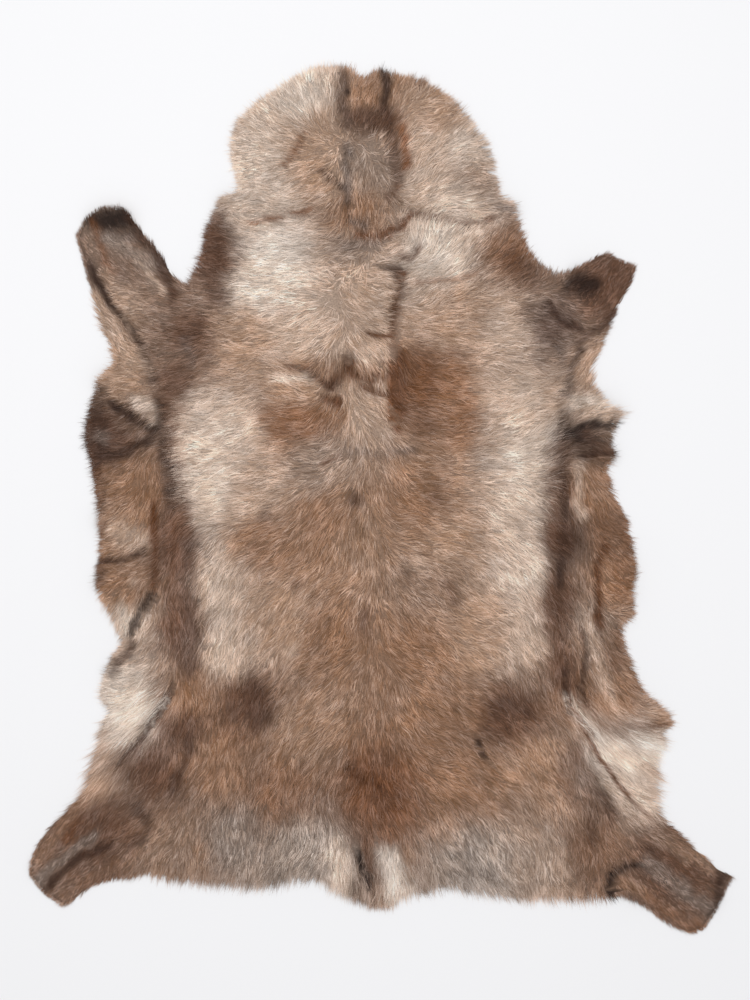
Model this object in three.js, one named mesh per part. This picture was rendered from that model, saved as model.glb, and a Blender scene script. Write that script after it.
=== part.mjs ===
// A reindeer hide: one tanned skin with its hair on, laid out flat with the hair side up.
// Millimetres, +Z up. The neck points along +Y and the tail along -Y. The origin is under the
// middle of the hide, on the surface that it lies on.
//
// The hide is one closed solid. Its plan is a row of sections across the trunk, from the crown of
// the neck to the rump, with four legs that grow out of the trunk's sides. Its underside is the
// flesh side of the skin, flat apart from where a fold lifts it, and its upper side is the face
// of the pile.
import * as THREE from "three";

// Driving dimensions
const SKIN = 1.5; // tanned leather
const RIM = 4; // leather and hair at the cut edge
const RIM_SLOPE = 34; // the pile lies down over this distance from the cut edge
const COLUMNS = 36; // strips across the trunk
const LONGEST_STRIP = 38; // furthest that two neighbouring sections may be apart
const SIDE_CROWDING = 0.5; // 0 spaces the columns evenly, 1 crowds them all at the sides
const CROWN_FADE = 75; // the crown's cut edge shapes the sections this far down the neck
const RUMP_FADE = 70; // and the rump's cut edge shapes them this far up the back
const FOLD_STEPS = 14; // straight pieces in a fold's line
const PLACE_BLEND = 30; // a named place's pile depth holds this far round it before it gives way

// The trunk, a section at a time from the crown to the rump: where each one meets the two sides.
const TRUNK = [
  { at: "crown", left: [-146, 626], right: [87, 620] },
  { at: "brow", left: [-182, 602], right: [112, 602] },
  { at: "jaw", left: [-213, 574], right: [138, 574] },
  { at: "cheek", left: [-224, 542], right: [164, 542] },
  { at: "gullet", left: [-224, 512], right: [174, 507] },
  { at: "throat", left: [-215, 484], right: [177, 482] },
  { at: "collar top", left: [-214, 468], right: [178, 464] },
  { at: "collar step", left: [-238, 459], right: [202, 449] },
  { at: "collar", left: [-246, 438], right: [207, 423] },
  { at: "neck", left: [-260, 416], right: [214, 400] },
  { at: "lower neck", left: [-266, 384], right: [226, 374] },
  { at: "breast", left: [-274, 354], right: [242, 355] },
  { at: "armpit", left: [-288, 327], right: [264, 342] },
  { at: "shoulder", left: [-316, 297], right: [280, 312] },
  { at: "upper arm", left: [-345, 267], right: [297, 282] },
  { at: "forearm", left: [-374, 237], right: [314, 253] },
  { at: "elbow", left: [-400, 208], right: [330, 224] },
  { at: "flap top", left: [-424, 183], right: [328, 196] },
  { at: "flap wave", left: [-430, 162], right: [326, 170] },
  { at: "flap ridge", left: [-436, 140], right: [345, 150] },
  { at: "flap corner", left: [-442, 114], right: [364, 133] },
  { at: "flap valley", left: [-444, 92], right: [351, 105] },
  { at: "upper flap", left: [-436, 68], right: [346, 86] },
  { at: "flap tuft", left: [-432, 46], right: [354, 68] },
  { at: "flap nick", left: [-428, 22], right: [341, 48] },
  { at: "chest", left: [-423, -10], right: [350, 18] },
  { at: "rib", left: [-420, -46], right: [367, -20] },
  { at: "last rib", left: [-422, -82], right: [380, -66] },
  { at: "belly", left: [-427, -118], right: [384, -108] },
  { at: "belly corner", left: [-424, -140], right: [378, -140] },
  { at: "belly notch", left: [-410, -162], right: [384, -174] },
  { at: "flank", left: [-399, -188], right: [364, -186] },
  { at: "flank notch", left: [-386, -208], right: [366, -210] },
  { at: "groin", left: [-404, -238], right: [375, -236] },
  { at: "thigh", left: [-416, -267], right: [384, -262] },
  { at: "thigh tuft", left: [-422, -294], right: [400, -290] },
  { at: "stifle notch", left: [-412, -316], right: [430, -314] },
  { at: "stifle", left: [-418, -343], right: [441, -333] },
  { at: "lower thigh", left: [-426, -372], right: [427, -358] },
  { at: "left leg top", left: [-438, -399], right: [418, -388] },
  { at: "buttock", left: [-424, -426], right: [417, -420] },
  { at: "right leg top", left: [-409, -451], right: [422, -447] },
  { at: "hock", left: [-391, -482], right: [402, -484] },
  { at: "back of thigh", left: [-371, -516], right: [380, -522] },
  { at: "rump side", left: [-355, -543], right: [357, -561] },
  { at: "rump", left: [-345, -560], right: [336, -597] },
];

// The two cut ends of the trunk: how far each stands out from its straight section, from the
// left side (share 0) to the right side (share 1).
const CROWN_EDGE = [
  { share: 0, out: 0 },
  { share: 0.11, out: 18 },
  { share: 0.23, out: 28 },
  { share: 0.42, out: 30 },
  { share: 0.51, out: 13 },
  { share: 0.63, out: 27 },
  { share: 0.77, out: 18 },
  { share: 0.91, out: 13 },
  { share: 1, out: 0 },
];
const RUMP_EDGE = [
  { share: 0, out: 0 },
  { share: 0.08, out: 4 },
  { share: 0.25, out: 7 },
  { share: 0.33, out: -5 },
  { share: 0.4, out: -3 },
  { share: 0.45, out: 19 },
  { share: 0.5, out: 33 },
  { share: 0.54, out: 26 },
  { share: 0.57, out: 3 },
  { share: 0.64, out: -4 },
  { share: 0.8, out: 4 },
  { share: 1, out: 0 },
];

// The legs, a section at a time from just outside the trunk to the cut at the hoof. A leg grows
// out of the trunk's side between the two trunk sections that "root" names. Its front edge is the
// one nearer the neck, and its cut end bulges by "tip".
const LEGS = [
  {
    name: "left foreleg",
    side: "left",
    root: ["armpit", "elbow"],
    tip: 11,
    sections: [
      { front: [-303, 338], back: [-418, 252] },
      { front: [-320, 360], back: [-429, 285] },
      { front: [-336, 382], back: [-438, 324] },
      { front: [-352, 404], back: [-448, 362] },
      { front: [-370, 428], back: [-458, 396] },
      { front: [-386, 440], back: [-448, 420] },
    ],
  },
  {
    name: "right foreleg",
    side: "right",
    root: ["armpit", "elbow"],
    tip: 3,
    sections: [
      { front: [285, 346], back: [335, 240] },
      { front: [302, 355], back: [344, 258] },
      { front: [318, 366], back: [353, 279] },
      { front: [336, 375], back: [364, 300] },
      { front: [357, 366], back: [375, 320] },
      { front: [379, 358], back: [384, 341] },
    ],
  },
  {
    name: "left hind leg",
    side: "left",
    root: ["left leg top", "rump"],
    tip: 6,
    sections: [
      { front: [-460, -442], back: [-372, -567] },
      { front: [-482, -466], back: [-400, -569] },
      { front: [-500, -490], back: [-424, -577] },
      { front: [-516, -516], back: [-444, -590] },
      { front: [-527, -542], back: [-462, -603] },
      { front: [-528, -563], back: [-474, -611] },
    ],
  },
  {
    name: "right hind leg",
    side: "right",
    root: ["right leg top", "rump"],
    tip: 4,
    sections: [
      { front: [434, -482], back: [363, -594] },
      { front: [459, -506], back: [387, -605] },
      { front: [484, -528], back: [412, -622] },
      { front: [504, -548], back: [437, -641] },
      { front: [520, -556], back: [464, -652] },
      { front: [529, -563], back: [487, -646] },
    ],
  },
];

// How deep the pile lies at places over the hide. Between them it changes smoothly.
const PILE = [
  { over: "crown", at: [-30, 600], depth: 13 },
  { over: "left cheek", at: [-170, 530], depth: 17 },
  { over: "right cheek", at: [120, 530], depth: 17 },
  { over: "neck", at: [-20, 410], depth: 21 },
  { over: "withers", at: [-20, 230], depth: 22 },
  { over: "left shoulder", at: [-200, 240], depth: 19 },
  { over: "right shoulder", at: [180, 240], depth: 19 },
  { over: "back", at: [-10, 0], depth: 20 },
  { over: "left ribs", at: [-250, -20], depth: 22 },
  { over: "right ribs", at: [230, -20], depth: 22 },
  { over: "loin", at: [-10, -240], depth: 18 },
  { over: "rump", at: [-10, -450], depth: 20 },
  { over: "left flap", at: [-390, 0], depth: 12 },
  { over: "right flap", at: [340, -40], depth: 12 },
  { over: "left thigh", at: [-330, -420], depth: 17 },
  { over: "right thigh", at: [340, -400], depth: 17 },
  { over: "left foreleg", at: [-410, 370], depth: 7 },
  { over: "right foreleg", at: [350, 330], depth: 7 },
  { over: "left hind leg", at: [-480, -540], depth: 7 },
  { over: "right hind leg", at: [490, -590], depth: 7 },
];

// The folds and creases. Each runs from one end to the other and bends towards "by". It acts to
// "reach" on both sides of its line: a fold has a "rise", which lifts the skin with its pile, and a
// crease has a "part", the share of the pile that it lays open.
const FOLDS = [
  { name: "crown cleft", from: [-52, 640], by: [-72, 564], to: [-42, 520], reach: 26, part: 0.55 },
  { name: "nape cleft", from: [3, 650], by: [-14, 556], to: [38, 492], reach: 26, part: 0.5 },
  { name: "nape ridge", from: [-24, 600], by: [-20, 550], to: [-14, 500], reach: 30, rise: 7 },
  { name: "collar ridge", from: [-235, 450], by: [-30, 466], to: [205, 442], reach: 26, rise: 9 },
  { name: "collar crease", from: [-225, 426], by: [-60, 432], to: [170, 417], reach: 20, part: 0.6 },
  { name: "spine crease", from: [30, 345], by: [8, 212], to: [0, 69], reach: 31, part: 0.45 },
  { name: "left withers wrinkle", from: [-145, 208], by: [-90, 204], to: [-62, 172], reach: 26, part: 0.55 },
  { name: "right withers wrinkle", from: [-56, 196], by: [-22, 176], to: [20, 190], reach: 26, part: 0.5 },
  { name: "withers swell", from: [-110, 232], by: [-40, 236], to: [10, 216], reach: 40, rise: 9 },
  { name: "loin crease", from: [0, 69], by: [135, 50], to: [262, 69], reach: 28, part: 0.3 },
  { name: "left saddle hollow", from: [-140, 30], by: [-100, -60], to: [-150, -150], reach: 44, part: 0.2 },
  { name: "right saddle hollow", from: [60, -70], by: [110, -130], to: [70, -200], reach: 44, part: 0.2 },
  { name: "mid back swell", from: [-40, -30], by: [-20, -110], to: [-60, -210], reach: 50, rise: 5 },
  { name: "left hip hollow", from: [-225, -270], by: [-180, -340], to: [-215, -400], reach: 40, part: 0.3 },
  { name: "right hip hollow", from: [225, -260], by: [165, -325], to: [210, -390], reach: 40, part: 0.3 },
  { name: "croup hollow", from: [-5, -380], by: [25, -440], to: [0, -500], reach: 34, part: 0.25 },
  { name: "tail furrow", from: [-5, -500], by: [-25, -540], to: [-2, -590], reach: 26, part: 0.4 },
  { name: "left flank step", from: [-366, 244], by: [-280, 76], to: [-346, -160], reach: 26, part: 0.7 },
  { name: "left flap crest", from: [-372, 218], by: [-352, 40], to: [-380, -150], reach: 36, rise: 8 },
  { name: "left flap top ridge", from: [-430, 184], by: [-384, 186], to: [-332, 148], reach: 27, rise: 12 },
  { name: "left flap valley", from: [-440, 140], by: [-388, 84], to: [-326, 108], reach: 24, part: 0.6 },
  { name: "left flap mid ridge", from: [-425, -28], by: [-378, -46], to: [-340, -62], reach: 28, rise: 11 },
  { name: "left flap low valley", from: [-425, -88], by: [-378, -80], to: [-342, -102], reach: 19, part: 0.6 },
  { name: "left flap low ridge", from: [-420, -126], by: [-378, -128], to: [-350, -116], reach: 24, rise: 9 },
  { name: "left hind flank crease", from: [-310, -280], by: [-360, -351], to: [-470, -490], reach: 20, part: 0.5 },
  { name: "left groin ridge", from: [-400, -258], by: [-350, -246], to: [-322, -276], reach: 26, rise: 9 },
  { name: "right flank step", from: [330, 236], by: [240, 110], to: [274, -60], reach: 26, part: 0.7 },
  { name: "right flank step low", from: [274, -60], by: [268, -290], to: [350, -450], reach: 22, part: 0.55 },
  { name: "right flap ridge", from: [286, 150], by: [318, 156], to: [360, 140], reach: 24, rise: 13 },
  { name: "right flap valley", from: [276, 104], by: [315, 116], to: [356, 116], reach: 20, part: 0.65 },
  { name: "right flap tuft", from: [318, 86], by: [336, 78], to: [352, 68], reach: 20, rise: 9 },
  { name: "right flap crease", from: [336, -50], by: [314, -118], to: [330, -186], reach: 19, part: 0.6 },
  { name: "right flap low ridge", from: [362, -84], by: [372, -130], to: [358, -166], reach: 26, rise: 11 },
  { name: "right thigh ridge", from: [312, -196], by: [314, -292], to: [372, -330], reach: 30, rise: 9 },
  { name: "left foreleg crease", from: [-438, 412], by: [-426, 300], to: [-362, 236], reach: 15, part: 0.55 },
  { name: "left hoof curl", from: [-428, 428], by: [-402, 446], to: [-375, 430], reach: 26, rise: 13 },
  { name: "right foreleg curl", from: [300, 340], by: [318, 326], to: [330, 342], reach: 28, rise: 14 },
  { name: "right foreleg pocket", from: [280, 342], by: [290, 290], to: [332, 302], reach: 16, part: 0.6 },
  { name: "left hind leg ridge", from: [-380, -410], by: [-440, -480], to: [-510, -550], reach: 30, rise: 6 },
  { name: "right hock pocket", from: [345, -590], by: [348, -540], to: [394, -556], reach: 17, part: 0.6 },
  { name: "right hock curl", from: [366, -572], by: [380, -578], to: [396, -590], reach: 22, rise: 10 },
  { name: "right hind leg ridge", from: [420, -540], by: [450, -570], to: [500, -600], reach: 28, rise: 6 },
];

const lerp = THREE.MathUtils.lerp;
const between = (a, b, share) => [lerp(a[0], b[0], share), lerp(a[1], b[1], share)];
const distance = (a, b) => Math.hypot(b[0] - a[0], b[1] - a[1]);

// How far a cut end stands out at a share of the way across, straight between the table's rows.
function edgeOut(edge, share) {
  const next = Math.max(1, edge.findIndex((row) => row.share >= share));
  const [a, b] = [edge[next - 1], edge[next]];
  return lerp(a.out, b.out, (share - a.share) / (b.share - a.share));
}

// The trunk as a grid of plan points: its rows run from the left side to the right side, and
// extra rows halve, third or quarter the gap between two sections that are far apart.
function trunkGrid() {
  const ends = [];
  const rowOf = {};
  TRUNK.forEach((section, i) => {
    rowOf[section.at] = ends.length;
    ends.push([section.left, section.right]);
    const next = TRUNK[i + 1];
    if (!next) return;
    const gap = Math.max(distance(section.left, next.left), distance(section.right, next.right));
    const pieces = Math.ceil(gap / LONGEST_STRIP);
    for (let k = 1; k < pieces; k++)
      ends.push([
        between(section.left, next.left, k / pieces),
        between(section.right, next.right, k / pieces),
      ]);
  });
  const middleY = ([left, right]) => (left[1] + right[1]) / 2;
  const [topY, bottomY] = [middleY(ends[0]), middleY(ends.at(-1))];
  const rows = ends.map((pair) => {
    const crownShare = Math.max(0, 1 - (topY - middleY(pair)) / CROWN_FADE) ** 2;
    const rumpShare = Math.max(0, 1 - (middleY(pair) - bottomY) / RUMP_FADE) ** 2;
    return Array.from({ length: COLUMNS + 1 }, (_, j) => {
      const even = j / COLUMNS;
      const share = even - (SIDE_CROWDING * Math.sin(2 * Math.PI * even)) / (2 * Math.PI);
      const [x, y] = between(pair[0], pair[1], share);
      const rise = crownShare * edgeOut(CROWN_EDGE, share) - rumpShare * edgeOut(RUMP_EDGE, share);
      return [x, y + rise];
    });
  });
  return { rows, rowOf };
}

// A leg as a grid of plan points. Its first row is the stretch of the trunk's side that it grows
// out of, and the others run from its front edge to its back edge at that row's shares.
function legGrid(leg, trunk) {
  const [first, last] = leg.root.map((at) => trunk.rowOf[at]);
  const side = leg.side === "left" ? 0 : COLUMNS;
  const root = trunk.rows.slice(first, last + 1).map((row) => row[side]);
  const run = [0];
  root.slice(1).forEach((point, i) => run.push(run[i] + distance(root[i], point)));
  const shares = run.map((length) => length / run.at(-1));
  const rows = leg.sections.map(({ front, back }, i) => {
    const isTip = i === leg.sections.length - 1;
    const outward = new THREE.Vector2(back[1] - front[1], front[0] - back[0]).normalize();
    const bulge = isTip ? (leg.side === "left" ? leg.tip : -leg.tip) : 0;
    return shares.map((share) => {
      const [x, y] = between(front, back, share);
      const out = bulge * Math.sin(Math.PI * share);
      return [x + outward.x * out, y + outward.y * out];
    });
  });
  return [root, ...rows];
}

// The plan of the whole hide: points that neighbouring grids share, and triangles between them
// that all turn anticlockwise seen from above.
function planOf(grids) {
  const points = [];
  const indexOf = new Map();
  const place = ([x, y]) => {
    const key = x.toFixed(2) + " " + y.toFixed(2);
    if (!indexOf.has(key)) {
      indexOf.set(key, points.length);
      points.push([x, y]);
    }
    return indexOf.get(key);
  };
  const triangles = [];
  const addTriangle = (a, b, c) => {
    const [p, q, r] = [points[a], points[b], points[c]];
    const turn = (q[0] - p[0]) * (r[1] - p[1]) - (q[1] - p[1]) * (r[0] - p[0]);
    if (a !== b && b !== c && c !== a) triangles.push(turn > 0 ? [a, b, c] : [a, c, b]);
  };
  for (const grid of grids) {
    const index = grid.map((row) => row.map(place));
    for (let i = 0; i + 1 < index.length; i++)
      for (let j = 0; j + 1 < index[i].length; j++) {
        const [a, b] = [index[i][j], index[i][j + 1]];
        const [d, c] = [index[i + 1][j], index[i + 1][j + 1]];
        addTriangle(a, b, c);
        addTriangle(a, c, d);
      }
  }
  return { points, triangles };
}

// The cut edge of the plan: the triangle sides that only one triangle has.
function cutEdge(triangles) {
  const sides = new Map();
  for (const [a, b, c] of triangles)
    for (const [from, to] of [[a, b], [b, c], [c, a]]) {
      const twin = to + " " + from;
      if (sides.has(twin)) sides.delete(twin);
      else sides.set(from + " " + to, [from, to]);
    }
  return [...sides.values()];
}

// Distance from a point to the straight piece from a to b.
function distanceToPiece([x, y], a, b) {
  const along = [b[0] - a[0], b[1] - a[1]];
  const length2 = along[0] ** 2 + along[1] ** 2 || 1;
  const share = ((x - a[0]) * along[0] + (y - a[1]) * along[1]) / length2;
  return distance([x, y], between(a, b, THREE.MathUtils.clamp(share, 0, 1)));
}

// A fold's line, as straight pieces.
const foldLines = FOLDS.map(({ from, by, to }) =>
  new THREE.QuadraticBezierCurve(
    new THREE.Vector2(...from),
    new THREE.Vector2(...by),
    new THREE.Vector2(...to),
  )
    .getPoints(FOLD_STEPS)
    .map((point) => [point.x, point.y]),
);

// What the folds do at a point: how far they lift the skin, and the share of the pile they leave.
function foldsAt(point) {
  let [lift, left] = [0, 1];
  FOLDS.forEach(({ reach, rise = 0, part = 0 }, i) => {
    const line = foldLines[i];
    const near = Math.min(...line.slice(1).map((end, k) => distanceToPiece(point, line[k], end)));
    if (near >= reach) return;
    const bell = 0.5 + 0.5 * Math.cos((Math.PI * near) / reach);
    lift = Math.max(lift, rise * bell);
    left *= 1 - part * bell;
  });
  return { lift, left };
}

// The pile's depth between the named places: each one counts by the inverse square of its distance.
function pileDepth([x, y]) {
  let [sum, weights] = [0, 0];
  for (const { at, depth } of PILE) {
    const weight = 1 / (distance([x, y], at) ** 2 + PLACE_BLEND ** 2);
    sum += depth * weight;
    weights += weight;
  }
  return sum / weights;
}

// The whole hide as one closed surface: the plan's triangles at the height of the pile's face,
// the same ones turned over at the height of the flesh side, and a strip round the cut edge.
function hideGeometry() {
  const trunk = trunkGrid();
  const { points, triangles } = planOf([trunk.rows, ...LEGS.map((leg) => legGrid(leg, trunk))]);
  const edge = cutEdge(triangles);
  const heights = points.map((point) => {
    const inland = Math.min(...edge.map(([a, b]) => distanceToPiece(point, points[a], points[b])));
    const { lift, left } = foldsAt(point);
    const cover = THREE.MathUtils.smoothstep(inland, 0, RIM_SLOPE);
    return { under: lift, over: lift + Math.max(RIM, SKIN + pileDepth(point) * left * cover) };
  });
  const xs = points.map(([x]) => x);
  const ys = points.map(([, y]) => y);
  const middle = (values) => (Math.min(...values) + Math.max(...values)) / 2;
  const [midX, midY] = [middle(xs), middle(ys)];
  const over = (i) => [points[i][0] - midX, points[i][1] - midY, heights[i].over];
  const under = (i) => [points[i][0] - midX, points[i][1] - midY, heights[i].under];
  const corners = [];
  for (const [a, b, c] of triangles) {
    corners.push(over(a), over(b), over(c));
    corners.push(under(a), under(c), under(b));
  }
  for (const [a, b] of edge) {
    corners.push(under(a), under(b), over(b));
    corners.push(under(a), over(b), over(a));
  }
  const geometry = new THREE.BufferGeometry();
  geometry.setAttribute("position", new THREE.Float32BufferAttribute(corners.flat(), 3));
  geometry.computeVertexNormals();
  return geometry;
}

const furMaterial = new THREE.MeshStandardMaterial({ color: 0x9a7b64, roughness: 0.9, metalness: 0 });
const hide = new THREE.Mesh(hideGeometry(), furMaterial);
hide.name = "reindeer_hide";

const model = new THREE.Group();
model.add(hide);

export default model;
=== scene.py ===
"""A reindeer hide, tanned with its hair on and laid out flat with the hair side up.

The neck points along +Y and the hair side faces +Z, as in the frame. The tables and the working
arrays are in millimetres on the hide's plan, and the meshes and the stage are in metres.
"""

import functools
import math

import bpy
import numpy as np
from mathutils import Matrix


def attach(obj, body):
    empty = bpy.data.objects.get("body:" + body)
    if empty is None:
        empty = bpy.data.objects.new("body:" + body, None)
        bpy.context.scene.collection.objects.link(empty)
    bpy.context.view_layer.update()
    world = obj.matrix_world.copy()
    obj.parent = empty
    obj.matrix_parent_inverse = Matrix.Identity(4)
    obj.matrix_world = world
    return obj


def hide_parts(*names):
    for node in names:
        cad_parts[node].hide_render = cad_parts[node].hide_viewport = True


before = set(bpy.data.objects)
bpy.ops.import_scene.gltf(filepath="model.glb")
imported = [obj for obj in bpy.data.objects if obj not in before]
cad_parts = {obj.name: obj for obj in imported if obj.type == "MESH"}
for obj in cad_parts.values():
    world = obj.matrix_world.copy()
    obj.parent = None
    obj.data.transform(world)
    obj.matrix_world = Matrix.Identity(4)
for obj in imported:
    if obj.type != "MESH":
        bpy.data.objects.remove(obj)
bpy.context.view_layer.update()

bl_info = {
    "name": "Reindeer hide",
    "version": (1, 0, 0),
    "blender": (4, 5, 0),
    "location": "View3D > Sidebar > Reindeer hide",
    "description": "Builds a tanned reindeer hide with its coat of hair, laid out flat",
    "category": "Object",
}

NODE = "reindeer_hide"
MM = 0.001

# The trunk's cut, a section at a time from the crown to the rump: its left side and right side.
TRUNK = {
    "crown": ((-146, 626), (87, 620)),
    "brow": ((-182, 602), (112, 602)),
    "jaw": ((-213, 574), (138, 574)),
    "cheek": ((-224, 542), (164, 542)),
    "gullet": ((-224, 512), (174, 507)),
    "throat": ((-215, 484), (177, 482)),
    "collar top": ((-214, 468), (178, 464)),
    "collar step": ((-238, 459), (202, 449)),
    "collar": ((-246, 438), (207, 423)),
    "neck": ((-260, 416), (214, 400)),
    "lower neck": ((-266, 384), (226, 374)),
    "breast": ((-274, 354), (242, 355)),
    "armpit": ((-288, 327), (264, 342)),
    "shoulder": ((-316, 297), (280, 312)),
    "upper arm": ((-345, 267), (297, 282)),
    "forearm": ((-374, 237), (314, 253)),
    "elbow": ((-400, 208), (330, 224)),
    "flap top": ((-424, 183), (328, 196)),
    "flap wave": ((-430, 162), (326, 170)),
    "flap ridge": ((-436, 140), (345, 150)),
    "flap corner": ((-442, 114), (364, 133)),
    "flap valley": ((-444, 92), (351, 105)),
    "upper flap": ((-436, 68), (346, 86)),
    "flap tuft": ((-432, 46), (354, 68)),
    "flap nick": ((-428, 22), (341, 48)),
    "chest": ((-423, -10), (350, 18)),
    "rib": ((-420, -46), (367, -20)),
    "last rib": ((-422, -82), (380, -66)),
    "belly": ((-427, -118), (384, -108)),
    "belly corner": ((-424, -140), (378, -140)),
    "belly notch": ((-410, -162), (384, -174)),
    "flank": ((-399, -188), (364, -186)),
    "flank notch": ((-386, -208), (366, -210)),
    "groin": ((-404, -238), (375, -236)),
    "thigh": ((-416, -267), (384, -262)),
    "thigh tuft": ((-422, -294), (400, -290)),
    "stifle notch": ((-412, -316), (430, -314)),
    "stifle": ((-418, -343), (441, -333)),
    "lower thigh": ((-426, -372), (427, -358)),
    "left leg top": ((-438, -399), (418, -388)),
    "buttock": ((-424, -426), (417, -420)),
    "right leg top": ((-409, -451), (422, -447)),
    "hock": ((-391, -482), (402, -484)),
    "back of thigh": ((-371, -516), (380, -522)),
    "rump side": ((-355, -543), (357, -561)),
    "rump": ((-345, -560), (336, -597)),
}

# The two cut ends of the trunk: the share of the way across, and how far out from the straight.
CROWN_EDGE = [(0, 0), (0.11, 18), (0.23, 28), (0.42, 30), (0.51, 13), (0.63, 27), (0.77, 18),
              (0.91, 13), (1, 0)]
RUMP_EDGE = [(0, 0), (0.08, 4), (0.25, 7), (0.33, -5), (0.4, -3), (0.45, 19), (0.5, 33), (0.54, 26),
             (0.57, 3), (0.64, -4), (0.8, 4), (1, 0)]
CROWN_FADE = 75  # the crown's cut edge shapes the sections this far down the neck
RUMP_FADE = 70  # and the rump's cut edge shapes them this far up the back
SIDE_CROWDING = 0.5  # how much the columns crowd towards the sides, from 0 for evenly to 1
COLUMNS = 68  # cells across the trunk
ROW_STEP = 14  # the longest that a row of cells may be down either side

# The legs: the side of the trunk, the two sections that the leg grows out between, how far its cut
# end bulges, and a section at a time the edge nearer the neck and the other edge.
LEGS = {
    "left foreleg": ("left", "armpit", "elbow", 11, [
        ((-303, 338), (-418, 252)), ((-320, 360), (-429, 285)), ((-336, 382), (-438, 324)),
        ((-352, 404), (-448, 362)), ((-370, 428), (-458, 396)), ((-386, 440), (-448, 420))]),
    "right foreleg": ("right", "armpit", "elbow", 3, [
        ((285, 346), (335, 240)), ((302, 355), (344, 258)), ((318, 366), (353, 279)),
        ((336, 375), (364, 300)), ((357, 366), (375, 320)), ((379, 358), (384, 341))]),
    "left hind leg": ("left", "left leg top", "rump", 6, [
        ((-460, -442), (-372, -567)), ((-482, -466), (-400, -569)), ((-500, -490), (-424, -577)),
        ((-516, -516), (-444, -590)), ((-527, -542), (-462, -603)), ((-528, -563), (-474, -611))]),
    "right hind leg": ("right", "right leg top", "rump", 4, [
        ((434, -482), (363, -594)), ((459, -506), (387, -605)), ((484, -528), (412, -622)),
        ((504, -548), (437, -641)), ((520, -556), (464, -652)), ((529, -563), (487, -646))]),
}
LEG_STEPS = 2  # rows of cells from one of a leg's sections to the next

# The pile: how deep it lies over each place, and how long its hair is there.
PILE = {
    "crown": ((-30, 600), 13, 22),
    "left cheek": ((-170, 530), 17, 24),
    "right cheek": ((120, 530), 17, 24),
    "neck": ((-20, 410), 21, 26),
    "withers": ((-20, 230), 22, 26),
    "left shoulder": ((-200, 240), 19, 28),
    "right shoulder": ((180, 240), 19, 28),
    "back": ((-10, 0), 20, 24),
    "left ribs": ((-250, -20), 22, 30),
    "right ribs": ((230, -20), 22, 30),
    "loin": ((-10, -240), 18, 24),
    "rump": ((-10, -450), 20, 26),
    "left flap": ((-390, 0), 12, 23),
    "right flap": ((340, -40), 12, 23),
    "left thigh": ((-330, -420), 17, 26),
    "right thigh": ((340, -400), 17, 28),
    "left foreleg": ((-410, 370), 7, 15),
    "right foreleg": ((350, 330), 7, 15),
    "left hind leg": ((-480, -540), 7, 17),
    "right hind leg": ((490, -590), 7, 17),
}
PILE_BLEND = 30  # a place's pile holds this far round it before it gives way

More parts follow.
